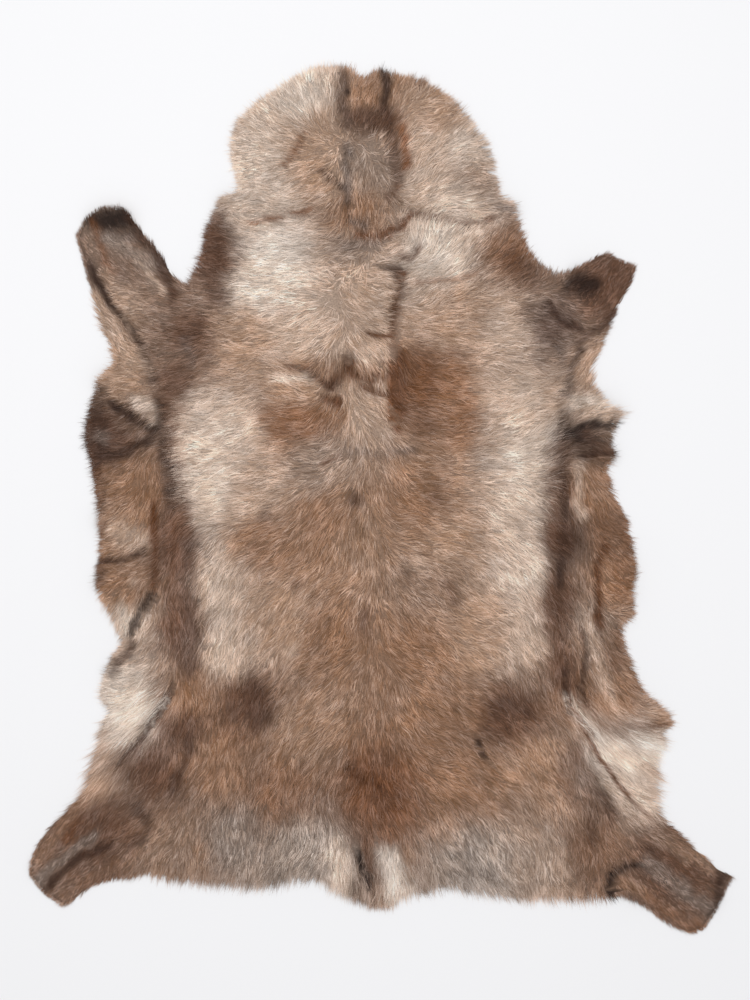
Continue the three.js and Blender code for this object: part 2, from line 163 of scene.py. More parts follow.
# The main folds and creases, which the hide's solid has too: start, the point it bends towards,
# end, its reach on both sides, how far it lifts the skin and the share of the pile it lays open.
FOLDS = {
    "crown cleft": ((-52, 640), (-72, 564), (-42, 520), 26, 0, 0.55),
    "nape cleft": ((3, 650), (-14, 556), (38, 492), 26, 0, 0.5),
    "nape ridge": ((-24, 600), (-20, 550), (-14, 500), 30, 7, 0),
    "collar ridge": ((-235, 450), (-30, 466), (205, 442), 26, 9, 0),
    "collar crease": ((-225, 426), (-60, 432), (170, 417), 20, 0, 0.6),
    "spine crease": ((30, 345), (8, 212), (0, 69), 31, 0, 0.45),
    "left withers wrinkle": ((-145, 208), (-90, 204), (-62, 172), 26, 0, 0.55),
    "right withers wrinkle": ((-56, 196), (-22, 176), (20, 190), 26, 0, 0.5),
    "withers swell": ((-110, 232), (-40, 236), (10, 216), 40, 9, 0),
    "loin crease": ((0, 69), (135, 50), (262, 69), 28, 0, 0.3),
    "left saddle hollow": ((-140, 30), (-100, -60), (-150, -150), 44, 0, 0.2),
    "right saddle hollow": ((60, -70), (110, -130), (70, -200), 44, 0, 0.2),
    "mid back swell": ((-40, -30), (-20, -110), (-60, -210), 50, 5, 0),
    "left hip hollow": ((-225, -270), (-180, -340), (-215, -400), 40, 0, 0.3),
    "right hip hollow": ((225, -260), (165, -325), (210, -390), 40, 0, 0.3),
    "croup hollow": ((-5, -380), (25, -440), (0, -500), 34, 0, 0.25),
    "tail furrow": ((-5, -500), (-25, -540), (-2, -590), 26, 0, 0.4),
    "left flank step": ((-366, 244), (-280, 76), (-346, -160), 26, 0, 0.7),
    "left flap crest": ((-372, 218), (-352, 40), (-380, -150), 36, 8, 0),
    "left flap top ridge": ((-430, 184), (-384, 186), (-332, 148), 27, 12, 0),
    "left flap valley": ((-440, 140), (-388, 84), (-326, 108), 24, 0, 0.6),
    "left flap mid ridge": ((-425, -28), (-378, -46), (-340, -62), 28, 11, 0),
    "left flap low valley": ((-425, -88), (-378, -80), (-342, -102), 19, 0, 0.6),
    "left flap low ridge": ((-420, -126), (-378, -128), (-350, -116), 24, 9, 0),
    "left hind flank crease": ((-310, -280), (-360, -351), (-470, -490), 20, 0, 0.5),
    "left groin ridge": ((-400, -258), (-350, -246), (-322, -276), 26, 9, 0),
    "right flank step": ((330, 236), (240, 110), (274, -60), 26, 0, 0.7),
    "right flank step low": ((274, -60), (268, -290), (350, -450), 22, 0, 0.55),
    "right flap ridge": ((286, 150), (318, 156), (360, 140), 24, 13, 0),
    "right flap valley": ((276, 104), (315, 116), (356, 116), 20, 0, 0.65),
    "right flap tuft": ((318, 86), (336, 78), (352, 68), 20, 9, 0),
    "right flap crease": ((336, -50), (314, -118), (330, -186), 19, 0, 0.6),
    "right flap low ridge": ((362, -84), (372, -130), (358, -166), 26, 11, 0),
    "right thigh ridge": ((312, -196), (314, -292), (372, -330), 30, 9, 0),
    "left foreleg crease": ((-438, 412), (-426, 300), (-362, 236), 15, 0, 0.55),
    "left hoof curl": ((-428, 428), (-402, 446), (-375, 430), 26, 13, 0),
    "right foreleg curl": ((300, 340), (318, 326), (330, 342), 28, 14, 0),
    "right foreleg pocket": ((280, 342), (290, 290), (332, 302), 16, 0, 0.6),
    "left hind leg ridge": ((-380, -410), (-440, -480), (-510, -550), 30, 6, 0),
    "right hock pocket": ((345, -590), (348, -540), (394, -556), 17, 0, 0.6),
    "right hock curl": ((366, -572), (380, -578), (396, -590), 22, 10, 0),
    "right hind leg ridge": ((420, -540), (450, -570), (500, -600), 28, 6, 0),
}
FOLD_STEPS = 14  # straight pieces in a fold's line

# Where the fringe of long hair ends inside the cut edge: a place, its reach and how far inside.
GAPS = {
    "right hind flank": ((442, -402), 36, 27),
    "right hind flank top": ((438, -350), 14, 16),
    "left hind flank": ((-430, -318), 19, 20),
    "left lower thigh": ((-448, -372), 22, 14),
}

# A thin dark marking is partly the hair's own colour and partly painted shade in the crease that opens
# under it.
THIN = 9  # a dark marking that reaches no further than this lies in a fine crease
DARK = ("sable", "umber")  # the tones that count as dark there
CREASE = 0.85  # the share of the pile that such a crease lays open, at full strength

# Where the long hair grows: start, bend, end, reach, extra length, how thickly and how sleekly.
LONG_HAIR = {
    "tail": ((-60, -545), (0, -575), (45, -550), 42, 24, 1.0, 0.6),
    "left hind flank": ((-328, -285), (-370, -345), (-440, -420), 48, 34, 1.0, 1.0),
    "left hock tuft": ((-468, -455), (-474, -462), (-480, -470), 18, 12, 1.0, 0.6),
    "right hind flank": ((300, -310), (385, -345), (420, -440), 52, 34, 1.0, 1.0),
    "left flank line": ((-300, 190), (-292, 90), (-290, 10), 22, 12, 0.8, 0.4),
    "right flank line": ((258, 190), (248, 90), (262, -60), 22, 12, 0.8, 0.4),
    "left elbow": ((-425, 290), (-400, 240), (-425, 195), 16, 8, 0.8, 0.3),
    "right flap spikes": ((326, 205), (340, 160), (350, 132), 16, 14, 0.9, 0.8),
    "right cheek wisps": ((140, 580), (172, 530), (174, 490), 18, 12, 0.9, 0.3),
    "rump edge": ((-330, -552), (0, -560), (330, -590), 24, 14, 1.0, 0.4),
}

# Which way the hair lies, part by part: a place and the lie there in degrees anticlockwise from +X.
LIE = {
    "crown": [
        (-90, 640, 95), (-120, 610, 115), (-170, 590, 140), (-200, 560, 160), (-215, 520, 178),
        (-205, 490, 186), (-80, 600, 88), (-150, 570, 150), (-120, 530, 160), (-150, 480, 185),
        (-100, 500, 205), (-100, 450, 190), (-30, 500, 262), (-20, 440, 268), (-20, 620, 70),
        (10, 600, 78), (15, 540, 50), (60, 620, 60), (90, 590, 25), (60, 570, 10), (120, 560, 30),
        (80, 530, 40), (130, 520, 20), (150, 480, 5), (100, 480, 30), (60, 480, 45), (160, 500, 2)],
    "collar": [
        (-200, 455, 185), (-150, 445, 178), (-225, 440, 190), (-30, 430, 265), (60, 450, 20),
        (110, 440, 355), (170, 440, 355), (195, 445, 5)],
    "neck": [
        (-180, 400, 170), (-150, 350, 178), (-120, 380, 185), (-240, 400, 165), (-250, 370, 165),
        (-270, 360, 150), (-230, 330, 170), (-70, 380, 190), (-30, 380, 200), (0, 370, 15),
        (0, 325, 350), (60, 390, 80), (110, 380, 50), (140, 350, 40), (170, 400, 50),
        (190, 370, 40), (210, 340, 45), (60, 320, 30), (110, 300, 10), (-45, 300, 335),
        (-75, 275, 200), (40, 270, 350), (-15, 270, 340), (-85, 310, 170)],
    "shoulders": [
        (-200, 300, 180), (-220, 260, 180), (-150, 270, 185), (-100, 260, 195), (-240, 220, 195),
        (-260, 180, 200), (-200, 170, 195), (-230, 130, 195), (-310, 250, 180), (-300, 200, 185),
        (-340, 290, 180), (-290, 170, 200), (100, 260, 355), (170, 270, 0), (150, 200, 355),
        (200, 220, 0), (230, 200, 350), (250, 230, 350), (260, 180, 20), (240, 150, 10),
        (270, 140, 40), (270, 100, 45), (255, 60, 40), (180, 100, 10)],
    "withers": [
        (-35, 228, 310), (-60, 210, 250), (-120, 180, 150), (-120, 120, 190), (-60, 130, 240),
        (-20, 150, 325), (20, 200, 275), (60, 180, 355), (60, 120, 350), (100, 150, 350)],
    "back": [
        (-150, 50, 185), (-100, 70, 170), (-60, 50, 215), (-20, 50, 270), (10, 60, 300),
        (50, 50, 350), (100, 30, 355), (150, 50, 5), (-200, 20, 185), (-230, -10, 190),
        (-280, 30, 182), (-290, 80, 182), (-150, -20, 200), (-100, -20, 240), (-60, -60, 255),
        (-30, -60, 278), (30, -50, 340), (60, -30, 345), (100, -50, 340), (150, -50, 335),
        (-150, -100, 215), (-100, -150, 235), (-50, -120, 225), (-30, -150, 265), (20, -150, 300),
        (60, -150, 330), (120, -130, 320), (150, -180, 345), (-150, -230, 240), (-100, -230, 225),
        (-60, -230, 215), (-60, -280, 240), (0, -280, 270), (40, -230, 330), (80, -280, 320),
        (130, -260, 330)],
    "flanks": [
        (-250, -60, 225), (-230, -120, 235), (-230, -200, 250), (-300, -100, 250),
        (-310, -160, 265), (-320, -50, 235), (-300, -230, 270), (-280, -260, 275), (220, 0, 340),
        (220, -60, 325), (220, -120, 315), (220, -200, 305), (220, -250, 300), (270, -50, 315),
        (270, -120, 310), (280, -200, 280), (290, -260, 285)],
    "hips": [
        (-190, -310, 255), (-250, -330, 250), (-300, -360, 265), (-120, -310, 230),
        (-60, -330, 215), (-20, -350, 265), (30, -320, 300), (80, -350, 335), (140, -340, 330),
        (190, -330, 310), (240, -360, 305), (290, -370, 295)],
    "rump": [
        (-250, -420, 245), (-180, -400, 250), (-100, -420, 260), (-30, -420, 250), (20, -440, 300),
        (80, -420, 330), (150, -430, 320), (220, -430, 310), (-60, -470, 285), (-120, -480, 275),
        (-200, -500, 265), (-280, -520, 262), (-150, -550, 250), (-100, -520, 245),
        (100, -480, 310), (180, -530, 300), (250, -550, 280), (150, -560, 305), (300, -540, 270),
        (320, -480, 280), (60, -540, 290)],
    "tail": [(-60, -560, 265), (-20, -540, 280), (-35, -590, 268), (20, -580, 268)],
    "left foreleg": [
        (-400, 430, 100), (-380, 390, 150), (-350, 350, 140), (-330, 370, 120), (-420, 350, 130),
        (-370, 310, 180), (-430, 300, 125), (-385, 230, 130)],
    "left flap": [
        (-380, 190, 185), (-420, 180, 170), (-430, 140, 185), (-400, 150, 190), (-360, 150, 200),
        (-350, 110, 215), (-420, 100, 185), (-400, 70, 190), (-380, 30, 200), (-340, 50, 265),
        (-330, 10, 265), (-400, -50, 195), (-350, -30, 240), (-360, -80, 200), (-400, -110, 190),
        (-350, -130, 250), (-380, -170, 250), (-400, -150, 225)],
    "left hind flank": [
        (-370, -230, 215), (-380, -260, 195), (-340, -260, 205), (-400, -290, 185),
        (-350, -300, 215), (-370, -330, 215), (-430, -400, 225), (-450, -440, 225)],
    "left hind leg": [
        (-340, -360, 240), (-330, -410, 235), (-380, -430, 232), (-420, -460, 235),
        (-400, -500, 225), (-350, -480, 225), (-490, -550, 225), (-450, -560, 225),
        (-300, -430, 245), (-320, -480, 235)],
    "right foreleg": [
        (290, 320, 30), (340, 330, 50), (330, 290, 45), (350, 300, 60), (280, 280, 330),
        (260, 290, 335), (290, 240, 20), (240, 280, 350), (260, 345, 100), (230, 370, 50)],
    "right flap": [
        (320, 190, 60), (310, 170, 70), (300, 150, 10), (330, 155, 0), (350, 130, 5),
        (300, 110, 15), (330, 85, 330), (340, 70, 10), (330, 40, 320), (290, 30, 260),
        (280, -20, 280), (310, 0, 290), (350, -40, 345), (330, -60, 320), (300, -60, 250),
        (310, -120, 285), (350, -100, 335), (370, -120, 0), (360, -150, 350), (310, -170, 280),
        (320, -220, 285), (350, -230, 320), (370, -240, 345), (320, -270, 300), (360, -280, 320),
        (400, -310, 350), (310, -310, 320)],
    "right hind flank": [
        (330, -340, 320), (370, -330, 345), (430, -330, 358), (400, -360, 335), (350, -370, 320),
        (370, -400, 325), (410, -400, 330), (390, -430, 330), (330, -400, 315), (360, -460, 320),
        (400, -480, 325)],
    "right hind leg": [
        (430, -510, 322), (470, -540, 322), (500, -570, 322), (480, -610, 325), (430, -600, 315),
        (380, -590, 300), (350, -500, 310), (300, -470, 290)],
}
LIE_BLEND = 16  # a place's lie holds this far round it before it gives way

# The tones of the coat: its colour, and how much one hair differs from the next there.
TONES = {
    "ivory": ((0.89, 0.795, 0.715), 0.17),
    "cream": ((0.79, 0.660, 0.560), 0.22),
    "bisque": ((0.66, 0.500, 0.395), 0.27),
    "fawn": ((0.50, 0.335, 0.238), 0.32),
    "greige": ((0.40, 0.290, 0.225), 0.36),
    "ash": ((0.43, 0.345, 0.290), 0.42),
    "tan": ((0.355, 0.202, 0.124), 0.36),
    "rust": ((0.262, 0.112, 0.052), 0.33),
    "slate": ((0.160, 0.121, 0.104), 0.44),
    "brown": ((0.172, 0.089, 0.056), 0.38),
    "umber": ((0.074, 0.036, 0.023), 0.35),
    "sable": ((0.025, 0.014, 0.011), 0.30),
}

# The coat's ground tone over each part of the body: a place, and its tone or the two that mix.
GROUND = {
    "crown left": ((-110, 600), "cream"),
    "left cheek": ((-190, 520), "cream bisque"),
    "left temple": ((-90, 560), "fawn"),
    "left nape": ((-90, 490), "fawn"),
    "nape": ((-25, 510), "greige"),
    "crown middle": ((-20, 600), "tan"),
    "crown right": ((90, 590), "fawn"),
    "right cheek": ((130, 530), "cream bisque"),
    "right temple": ((70, 510), "bisque"),
    "right cheek foot": ((140, 480), "greige"),
    "left collar": ((-170, 450), "cream bisque"),
    "collar middle": ((-40, 430), "tan"),
    "right collar": ((120, 440), "cream bisque"),
    "left neck panel": ((-150, 370), "cream ivory"),
    "left neck panel foot": ((-180, 320), "cream"),
    "left neck side": ((-250, 370), "brown"),
    "neck middle": ((-40, 380), "greige"),
    "neck foot": ((-30, 320), "bisque fawn"),
    "right neck panel": ((90, 370), "cream"),
    "right neck side": ((190, 370), "brown tan"),
    "left shoulder": ((-200, 250), "fawn"),
    "left arm": ((-290, 250), "brown"),
    "left arm foot": ((-320, 215), "greige brown"),
    "left withers": ((-120, 260), "bisque"),
    "right withers": ((120, 280), "fawn"),
    "right shoulder": ((200, 260), "bisque"),
    "right arm": ((250, 260), "slate brown"),
    "withers": ((-30, 250), "bisque fawn"),
    "left saddle": ((-120, 180), "fawn"),
    "left saddle foot": ((-120, 120), "tan rust"),
    "saddle": ((-20, 140), "bisque fawn"),
    "right saddle": ((60, 180), "tan rust"),
    "right saddle foot": ((100, 130), "tan"),
    "left flank top": ((-230, 100), "cream bisque"),
    "left flank": ((-250, 20), "cream"),
    "left ribs": ((-190, 20), "fawn bisque"),
    "left flank low": ((-240, -130), "bisque"),
    "left flank foot": ((-230, -220), "bisque"),
    "right flank top": ((200, 150), "bisque"),
    "right flank": ((230, 60), "cream"),
    "right flank mid": ((220, -20), "cream bisque"),
    "right flank low": ((220, -100), "bisque cream"),
    "right flank foot": ((220, -200), "bisque"),
    "left loin": ((-100, 60), "greige"),
    "left back": ((-80, -30), "tan"),
    "back": ((-30, -60), "tan fawn"),
    "right back": ((60, 0), "tan"),
    "right back low": ((60, -120), "greige tan"),
    "right ribs": ((110, -60), "fawn"),
    "left ribs low": ((-170, -60), "tan"),
    "left haunch": ((-150, -180), "fawn"),
    "left back foot": ((-80, -200), "tan"),
    "right back foot": ((60, -220), "tan"),
    "right haunch": ((150, -200), "fawn"),
    "left belly": ((-300, -60), "brown"),
    "left belly foot": ((-300, -180), "brown"),
    "right belly": ((270, -50), "umber"),
    "right belly low": ((270, -150), "brown"),
    "right belly foot": ((280, -260), "tan brown"),
    "left hip": ((-200, -300), "brown"),
    "right hip": ((200, -320), "brown"),
    "left croup": ((-120, -340), "fawn tan"),
    "right croup": ((90, -330), "tan"),
    "left hip foot": ((-250, -390), "tan"),
    "left rump": ((-150, -430), "tan brown"),
    "rump": ((0, -430), "rust brown"),
    "right rump": ((130, -420), "tan"),
    "right hip foot": ((230, -400), "fawn tan"),
    "left rump foot": ((-220, -500), "slate greige"),
    "left rump corner": ((-300, -520), "greige tan"),
    "left rump edge": ((-120, -530), "ash"),
    "right rump edge": ((150, -550), "ash"),
    "right rump foot": ((250, -540), "fawn ash"),
    "right rump corner": ((310, -520), "brown tan"),
    "left foreleg": ((-370, 350), "brown greige"),
    "left inner foreleg": ((-375, 290), "greige fawn"),
    "right foreleg": ((340, 320), "brown"),
    "left thigh": ((-340, -400), "brown"),
    "left stifle": ((-300, -335), "brown"),
    "left groin foot": ((-285, -285), "tan"),
    "left hock": ((-420, -480), "brown"),
    "right hock": ((430, -530), "brown"),
    "left forearm": ((-330, 290), "greige brown"),
    "left flap top": ((-390, 200), "fawn"),
    "left flap dark": ((-410, 100), "umber brown"),
    "left flap": ((-360, 20), "tan"),
    "left flap side": ((-390, -50), "fawn tan"),
    "left flap low": ((-380, -130), "tan"),
    "left flap tip": ((-380, -180), "bisque"),
    "right flap top": ((310, 180), "fawn"),
    # Painted highlight on the flap's ridge.
    "right flap ridge highlight": ((320, 140), "bisque"),
    "right flap dark": ((310, 100), "umber"),
    "right flap": ((310, 20), "tan"),
    "right flap side": ((350, -50), "tan brown"),
    "right flap low": ((340, -130), "tan"),
    "right flap grey": ((310, -170), "greige"),
    "right groin": ((330, -240), "fawn brown"),
    "right thigh edge": ((360, -290), "tan"),
    "left hind flank": ((-370, -300), "cream ivory"),
    "left hind flank foot": ((-430, -400), "bisque tan"),
    "right hind flank top": ((410, -320), "tan greige"),
    "right hind flank": ((370, -360), "ivory"),
    "right hind flank foot": ((390, -420), "bisque"),
}
GROUND_BLEND = 22  # a part's tone holds this far round it before it gives way

# Markings over the ground tone: the line or spot, how far it reaches on both sides, its tone or the
# two that mix, and how strongly it takes over.
# Some markings are painted shade or painted highlight: shade in creases, valleys, gaps and pockets,
# highlight on fold ridges.
MARKINGS = {
    "crown left strip": ([(-55, 640), (-58, 600), (-52, 560)], 13, "umber", 0.7),
    "crown pit": ([(-50, 612)], 9, "sable", 0.8),
    "crown bar": ([(-50, 576), (0, 576)], 24, "slate brown", 0.75),
    "crown streak": ([(8, 645), (5, 600), (10, 575)], 13, "umber sable", 0.9),
    "crown block": ([(-25, 568), (10, 568)], 34, "umber brown", 0.75),
    "nape streak": ([(20, 560), (20, 520), (25, 490)], 20, "umber brown", 0.8),
    "crown right spot": ([(58, 628)], 16, "brown", 0.5),
    "nape streak foot": ([(25, 475), (15, 455)], 10, "brown", 0.8),
    "nape rust": ([(35, 560), (40, 520), (38, 500)], 9, "rust", 0.7),
    "left temple crease": ([(-115, 550), (-125, 520), (-140, 505)], 6, "rust brown", 0.6),
    "left nape crease": ([(-85, 495), (-70, 480), (-55, 470)], 7, "umber", 0.55),
    "nape slate": ([(-50, 530), (-52, 490), (-48, 450)], 12, "slate", 0.7),
    # Painted shadow under the collar ridge, in the two collar lines and the middle mark; the collar
    # rust mixes rusty hair with painted shadow.
    "left collar shadow line": ([(-190, 418), (-150, 425), (-100, 440)], 5, "rust", 0.6),
    "collar middle shadow": ([(-45, 425), (-20, 415)], 10, "slate", 0.7),
    "collar rust and shadow": ([(-35, 403), (0, 400), (30, 410), (45, 428)], 9, "rust umber", 0.75),
    "right collar shadow line": (
        [(45, 430), (80, 425), (110, 418), (150, 415), (168, 425)], 5, "brown", 0.6),
    "right collar tip": ([(180, 440), (200, 440)], 9, "slate", 0.5),
    "neck slate": ([(-50, 385), (-10, 385)], 16, "slate", 0.5),
    "neck line": ([(0, 350), (35, 352)], 5, "umber", 0.6),
    "neck crease": ([(30, 370), (45, 360), (60, 380)], 6, "brown", 0.6),
    "neck stroke": ([(20, 345), (35, 325), (30, 310)], 10, "umber", 0.7),
    "right neck rust": ([(50, 325), (100, 330), (140, 340)], 6, "rust", 0.35),
    "left neck side": ([(-245, 420), (-250, 360), (-240, 300)], 30, "brown umber", 0.75),
    "right neck side": ([(195, 360), (225, 335)], 34, "brown umber", 0.65),
    "left hoof": ([(-430, 424), (-375, 424)], 27, "sable", 0.95),
    "left shank slate": ([(-420, 397), (-370, 397)], 15, "slate", 0.6),
    "left shank rust": ([(-430, 420), (-415, 380), (-405, 345)], 12, "rust", 0.6),
    "left shank outer": ([(-455, 400), (-430, 320)], 12, "brown slate", 0.6),
    "left shank ash": ([(-410, 395), (-340, 350)], 15, "ash", 0.5),
    "left shank inner": (
        [(-372, 428), (-352, 385), (-322, 345), (-305, 305)], 14, "umber", 0.85),
    "left shank pale line": ([(-362, 358), (-340, 335), (-322, 312)], 5, "bisque", 0.5),
    "left shank tan": ([(-412, 345), (-392, 305), (-378, 275)], 12, "tan bisque", 0.55),
    "left foreleg line": (
        [(-432, 352), (-415, 310), (-392, 282), (-368, 252), (-350, 215), (-338, 180)],
        8, "sable umber", 0.8),
    "left arm spot": ([(-310, 290), (-300, 310)], 12, "umber", 0.6),
    "left arm spot foot": ([(-265, 275), (-275, 250)], 12, "umber", 0.5),
    "left arm slate": ([(-290, 240), (-280, 210)], 15, "slate", 0.5),
    "left elbow": ([(-428, 295), (-400, 250), (-350, 200)], 18, "bisque fawn", 0.7),
    # Painted highlight on the flap's top ridge.
    "left flap roll highlight": ([(-360, 148), (-340, 140), (-333, 118)], 19, "bisque cream", 0.75),
    "left flap dark": ([(-422, 165), (-420, 75)], 24, "umber sable", 0.6),
    # Partly dark hair and partly painted shade below the top ridge.
    "left flap dark band": ([(-400, 148), (-370, 125), (-340, 106)], 9, "sable umber", 0.8),
    "left flap ridge": ([(-388, 118), (-362, 108)], 12, "tan slate", 0.6),
    "left flap grey": ([(-416, 96)], 17, "slate ash", 0.4),
    # Painted shade in the flap's valley.
    "left flap valley shade": ([(-425, 60), (-385, 76), (-345, 94)], 12, "sable umber", 0.8),
    "left flap edge": ([(-428, 60), (-424, -10), (-422, -80), (-420, -120)], 18, "umber brown", 0.7),
    "left flank belt": (
        [(-300, 190), (-316, 100), (-305, 20), (-303, -60), (-303, -150), (-290, -240)], 33,
        "brown", 0.8),
    # Painted shade in the gap where the flank's hair overhangs the fold below it.
    "left flank line": ([(-325, 145), (-326, 100), (-312, 50), (-306, 0)], 15, "sable", 0.9),
    # Painted highlight on the flap's middle ridge.
    "left flap mid ridge highlight": ([(-392, -42), (-360, -58)], 26, "bisque", 0.6),
    "left flap rust": ([(-338, 0), (-336, -70), (-338, -130)], 8, "rust umber", 0.75),
    # Painted shade in the flap's low valley.
    "left flap low valley shade": ([(-420, -90), (-385, -88), (-355, -78)], 7, "umber", 0.7),
    # Painted highlight on the flap's low ridge.
    "left flap low ridge highlight": ([(-370, -120)], 12, "bisque", 0.55),
    "left flap tip": ([(-385, -160), (-385, -195)], 18, "cream", 0.7),
    "left groin wedge": ([(-345, -140), (-360, -170), (-375, -200)], 10, "sable", 0.85),
    "left groin": ([(-370, -215), (-390, -245), (-400, -260)], 12, "umber", 0.75),
    "left belly": ([(-283, -50), (-283, -240)], 22, "brown slate", 0.6),
    "left flank pale": (
        [(-268, 150), (-268, 60), (-252, -60), (-236, -150), (-236, -235)], 32,
        "cream bisque", 0.55),
    "left belly spot": ([(-275, -145)], 10, "umber", 0.6),
    "spine": (
        [(30, 345), (22, 300), (22, 260), (20, 235), (22, 150), (22, 110)],
        9, "umber rust", 0.9),
    "spine dark": ([(30, 222), (30, 130)], 15, "umber rust", 0.8),
    "spine edge": ([(14, 232), (14, 120)], 4, "rust", 0.8),
    "spine rust": ([(25, 130), (25, 105)], 10, "rust", 0.7),
    "withers top line": ([(-18, 252), (0, 247), (16, 250)], 6, "rust umber", 0.9),
    # Painted shadow under the withers fold: the wrinkle line and the dark spot where it ends.
    "withers wrinkle": (
        [(-135, 202), (-105, 196), (-88, 182), (-72, 174)], 6, "umber rust", 0.9),
    "withers fold shadow": (
        [(-75, 180), (-62, 182), (-55, 205), (-46, 214)], 12, "umber", 0.95),
    "withers rust": ([(-95, 200), (-65, 195), (-20, 192)], 24, "rust tan", 0.5),
    "withers pit": ([(-47, 210)], 8, "umber rust", 0.9),
    "withers cross line": (
        [(-48, 200), (-40, 188), (-20, 185), (12, 190)], 8, "umber rust", 0.9),
    "withers low line": ([(-28, 172), (-10, 166), (15, 162)], 8, "umber rust", 0.9),
    "left withers pit": ([(-82, 157), (-60, 153)], 9, "rust umber", 0.9),
    "left withers foot": ([(-68, 150), (-55, 132)], 5, "umber rust", 0.8),
    "withers pale": ([(-30, 222), (8, 222)], 17, "bisque", 0.55),
    "withers curl": ([(-150, 185), (-100, 185)], 13, "cream", 0.6),
    "left withers band": ([(-160, 125), (-65, 125)], 30, "rust tan", 0.6),
    "right withers brown": ([(55, 205), (60, 125)], 46, "rust umber", 0.55),
    "right withers foot": ([(110, 200), (115, 110)], 42, "rust tan", 0.5),
    "star": ([(0, 70)], 9, "umber", 0.7),
    "star line": ([(-55, 75), (0, 73), (50, 78)], 5, "slate", 0.5),
    "left loin line": ([(-85, 55), (-60, 70)], 6, "brown", 0.5),
    "back spot": ([(-38, 8), (-34, -2)], 15, "umber", 0.7),
    "right back spot": ([(80, 10)], 17, "brown", 0.5),
    "left rib slate": ([(-170, -25)], 22, "slate", 0.45),
    "left back spot": ([(-120, -125)], 15, "brown", 0.5),
    "spine brown": ([(-20, -160), (-25, -180), (-20, -200)], 13, "brown", 0.65),
    "back pit": ([(38, -105)], 8, "umber", 0.65),
    "back light": ([(60, -95)], 17, "bisque", 0.5),
    "right back brown": ([(100, -120), (110, -150)], 13, "brown", 0.5),
    "left haunch light": ([(-130, -220)], 20, "bisque", 0.5),
    "left hip": ([(-190, -280), (-175, -325)], 34, "umber", 0.6),
    "right hip": ([(185, -290), (168, -345)], 30, "umber brown", 0.55),
    "right hip spot": ([(218, -315)], 9, "umber", 0.6),
    "right hip low": ([(290, -365), (270, -410), (300, -445)], 26, "brown", 0.55),
    "right hip crease": ([(143, -352), (148, -374), (160, -392)], 5, "umber sable", 0.75),
    "right shoulder slate": ([(220, 280), (270, 280)], 32, "slate brown", 0.6),
    "right arm line": ([(250, 300), (270, 270), (300, 255)], 8, "umber", 0.7),
    # Painted shade in the pocket under the foreleg's curl.
    "right pocket": ([(290, 325), (315, 325)], 26, "sable", 0.9),
    "right pocket curl": ([(290, 320)], 9, "brown", 0.6),
    # Painted shade under the curled foreleg.
    "right shank under": ([(350, 280), (330, 260), (300, 240)], 10, "umber", 0.7),
    "right elbow slate": ([(265, 230), (270, 190), (265, 150)], 11, "slate", 0.6),
    "right flank pale": ([(215, 170), (222, 60), (212, -60), (212, -160)], 34, "bisque cream", 0.4),
    "right flank belt": (
        [(262, 70), (266, 0), (266, -100), (264, -200), (278, -265)], 34, "brown", 0.85),
    # Painted shade in the gap where the flank's hair overhangs the fold below it.
    "right flank line": (
        [(300, 225), (285, 200), (278, 170), (270, 130), (268, 90), (272, 50), (274, 0),
         (272, -60), (270, -120)], 12, "sable umber", 0.9),
    "right flap top": ([(300, 205), (320, 170)], 16, "fawn", 0.6),
    # Painted highlight on the flap's ridge.
    "right flap ridge highlight": ([(280, 145), (350, 145)], 15, "cream", 0.7),
    # Painted shade in the flap's valley, here and in the next mark.
    "right flap valley": ([(280, 105), (310, 115), (345, 118)], 11, "sable", 0.9),
    "right flap valley foot": ([(278, 95), (295, 95)], 16, "sable", 0.8),
    "right flap tuft line": ([(300, 68), (340, 75), (360, 68)], 6, "umber", 0.7),
    "right flap ridge": ([(297, 60), (297, -20)], 12, "bisque", 0.55),
    "right flap edge": ([(345, 25)], 10, "umber", 0.6),
    "right flap crease": (
        [(340, -65), (325, -95), (325, -140), (330, -190)], 8, "umber rust", 0.8),
    "right flap orange": ([(362, -95), (362, -135)], 19, "rust tan", 0.5),
    "right belly crease": (
        [(300, -190), (310, -215), (308, -250), (300, -290)], 6, "umber", 0.65),
    "right groin light": ([(316, -185), (325, -240), (348, -298)], 18, "bisque greige", 0.6),
    "right groin brown": ([(355, -200), (355, -245)], 15, "brown", 0.5),
    "right flank foot line": ([(280, -250), (278, -280), (285, -320)], 7, "umber", 0.7),
    "left hind flank": ([(-375, -275), (-355, -320)], 40, "cream", 0.75),
    "left hind flank tuft": ([(-325, -290), (-330, -310)], 11, "ivory", 0.75),
    "left hind flank line": (
        [(-310, -270), (-315, -300), (-335, -325), (-345, -340), (-370, -365), (-385, -385)],
        4, "umber", 0.75),
    "left shin slate": ([(-515, -572), (-470, -532), (-430, -505)], 14, "slate ash", 0.65),
    "left shin dark": ([(-500, -580), (-455, -537), (-405, -515)], 9, "umber", 0.7),
    "left shin tan": ([(-440, -448), (-480, -495), (-516, -540)], 14, "tan", 0.5),
    "left hock rust": ([(-452, -478), (-470, -510)], 8, "rust umber", 0.6),
    "left heel": ([(-395, -545), (-445, -572)], 14, "tan brown", 0.55),
    "left thigh dark": ([(-360, -460), (-340, -490), (-370, -510)], 17, "umber", 0.6),
    "left thigh line": ([(-310, -430), (-300, -400)], 13, "umber", 0.6),
    "left hip line": ([(-285, -350), (-290, -395)], 10, "umber", 0.65),
    "left rump ash": ([(-230, -500), (-200, -540)], 44, "ash", 0.4),
    "rump line": ([(-50, -400), (-20, -420), (0, -425)], 8, "umber", 0.6),
    "rump rust": ([(-30, -405), (5, -425), (20, -455)], 27, "rust umber", 0.65),
    "tail left": ([(-62, -515), (-60, -585)], 24, "cream bisque", 0.8),
    "tail line": ([(-35, -510), (-32, -540), (-10, -570)], 6, "sable", 0.85),
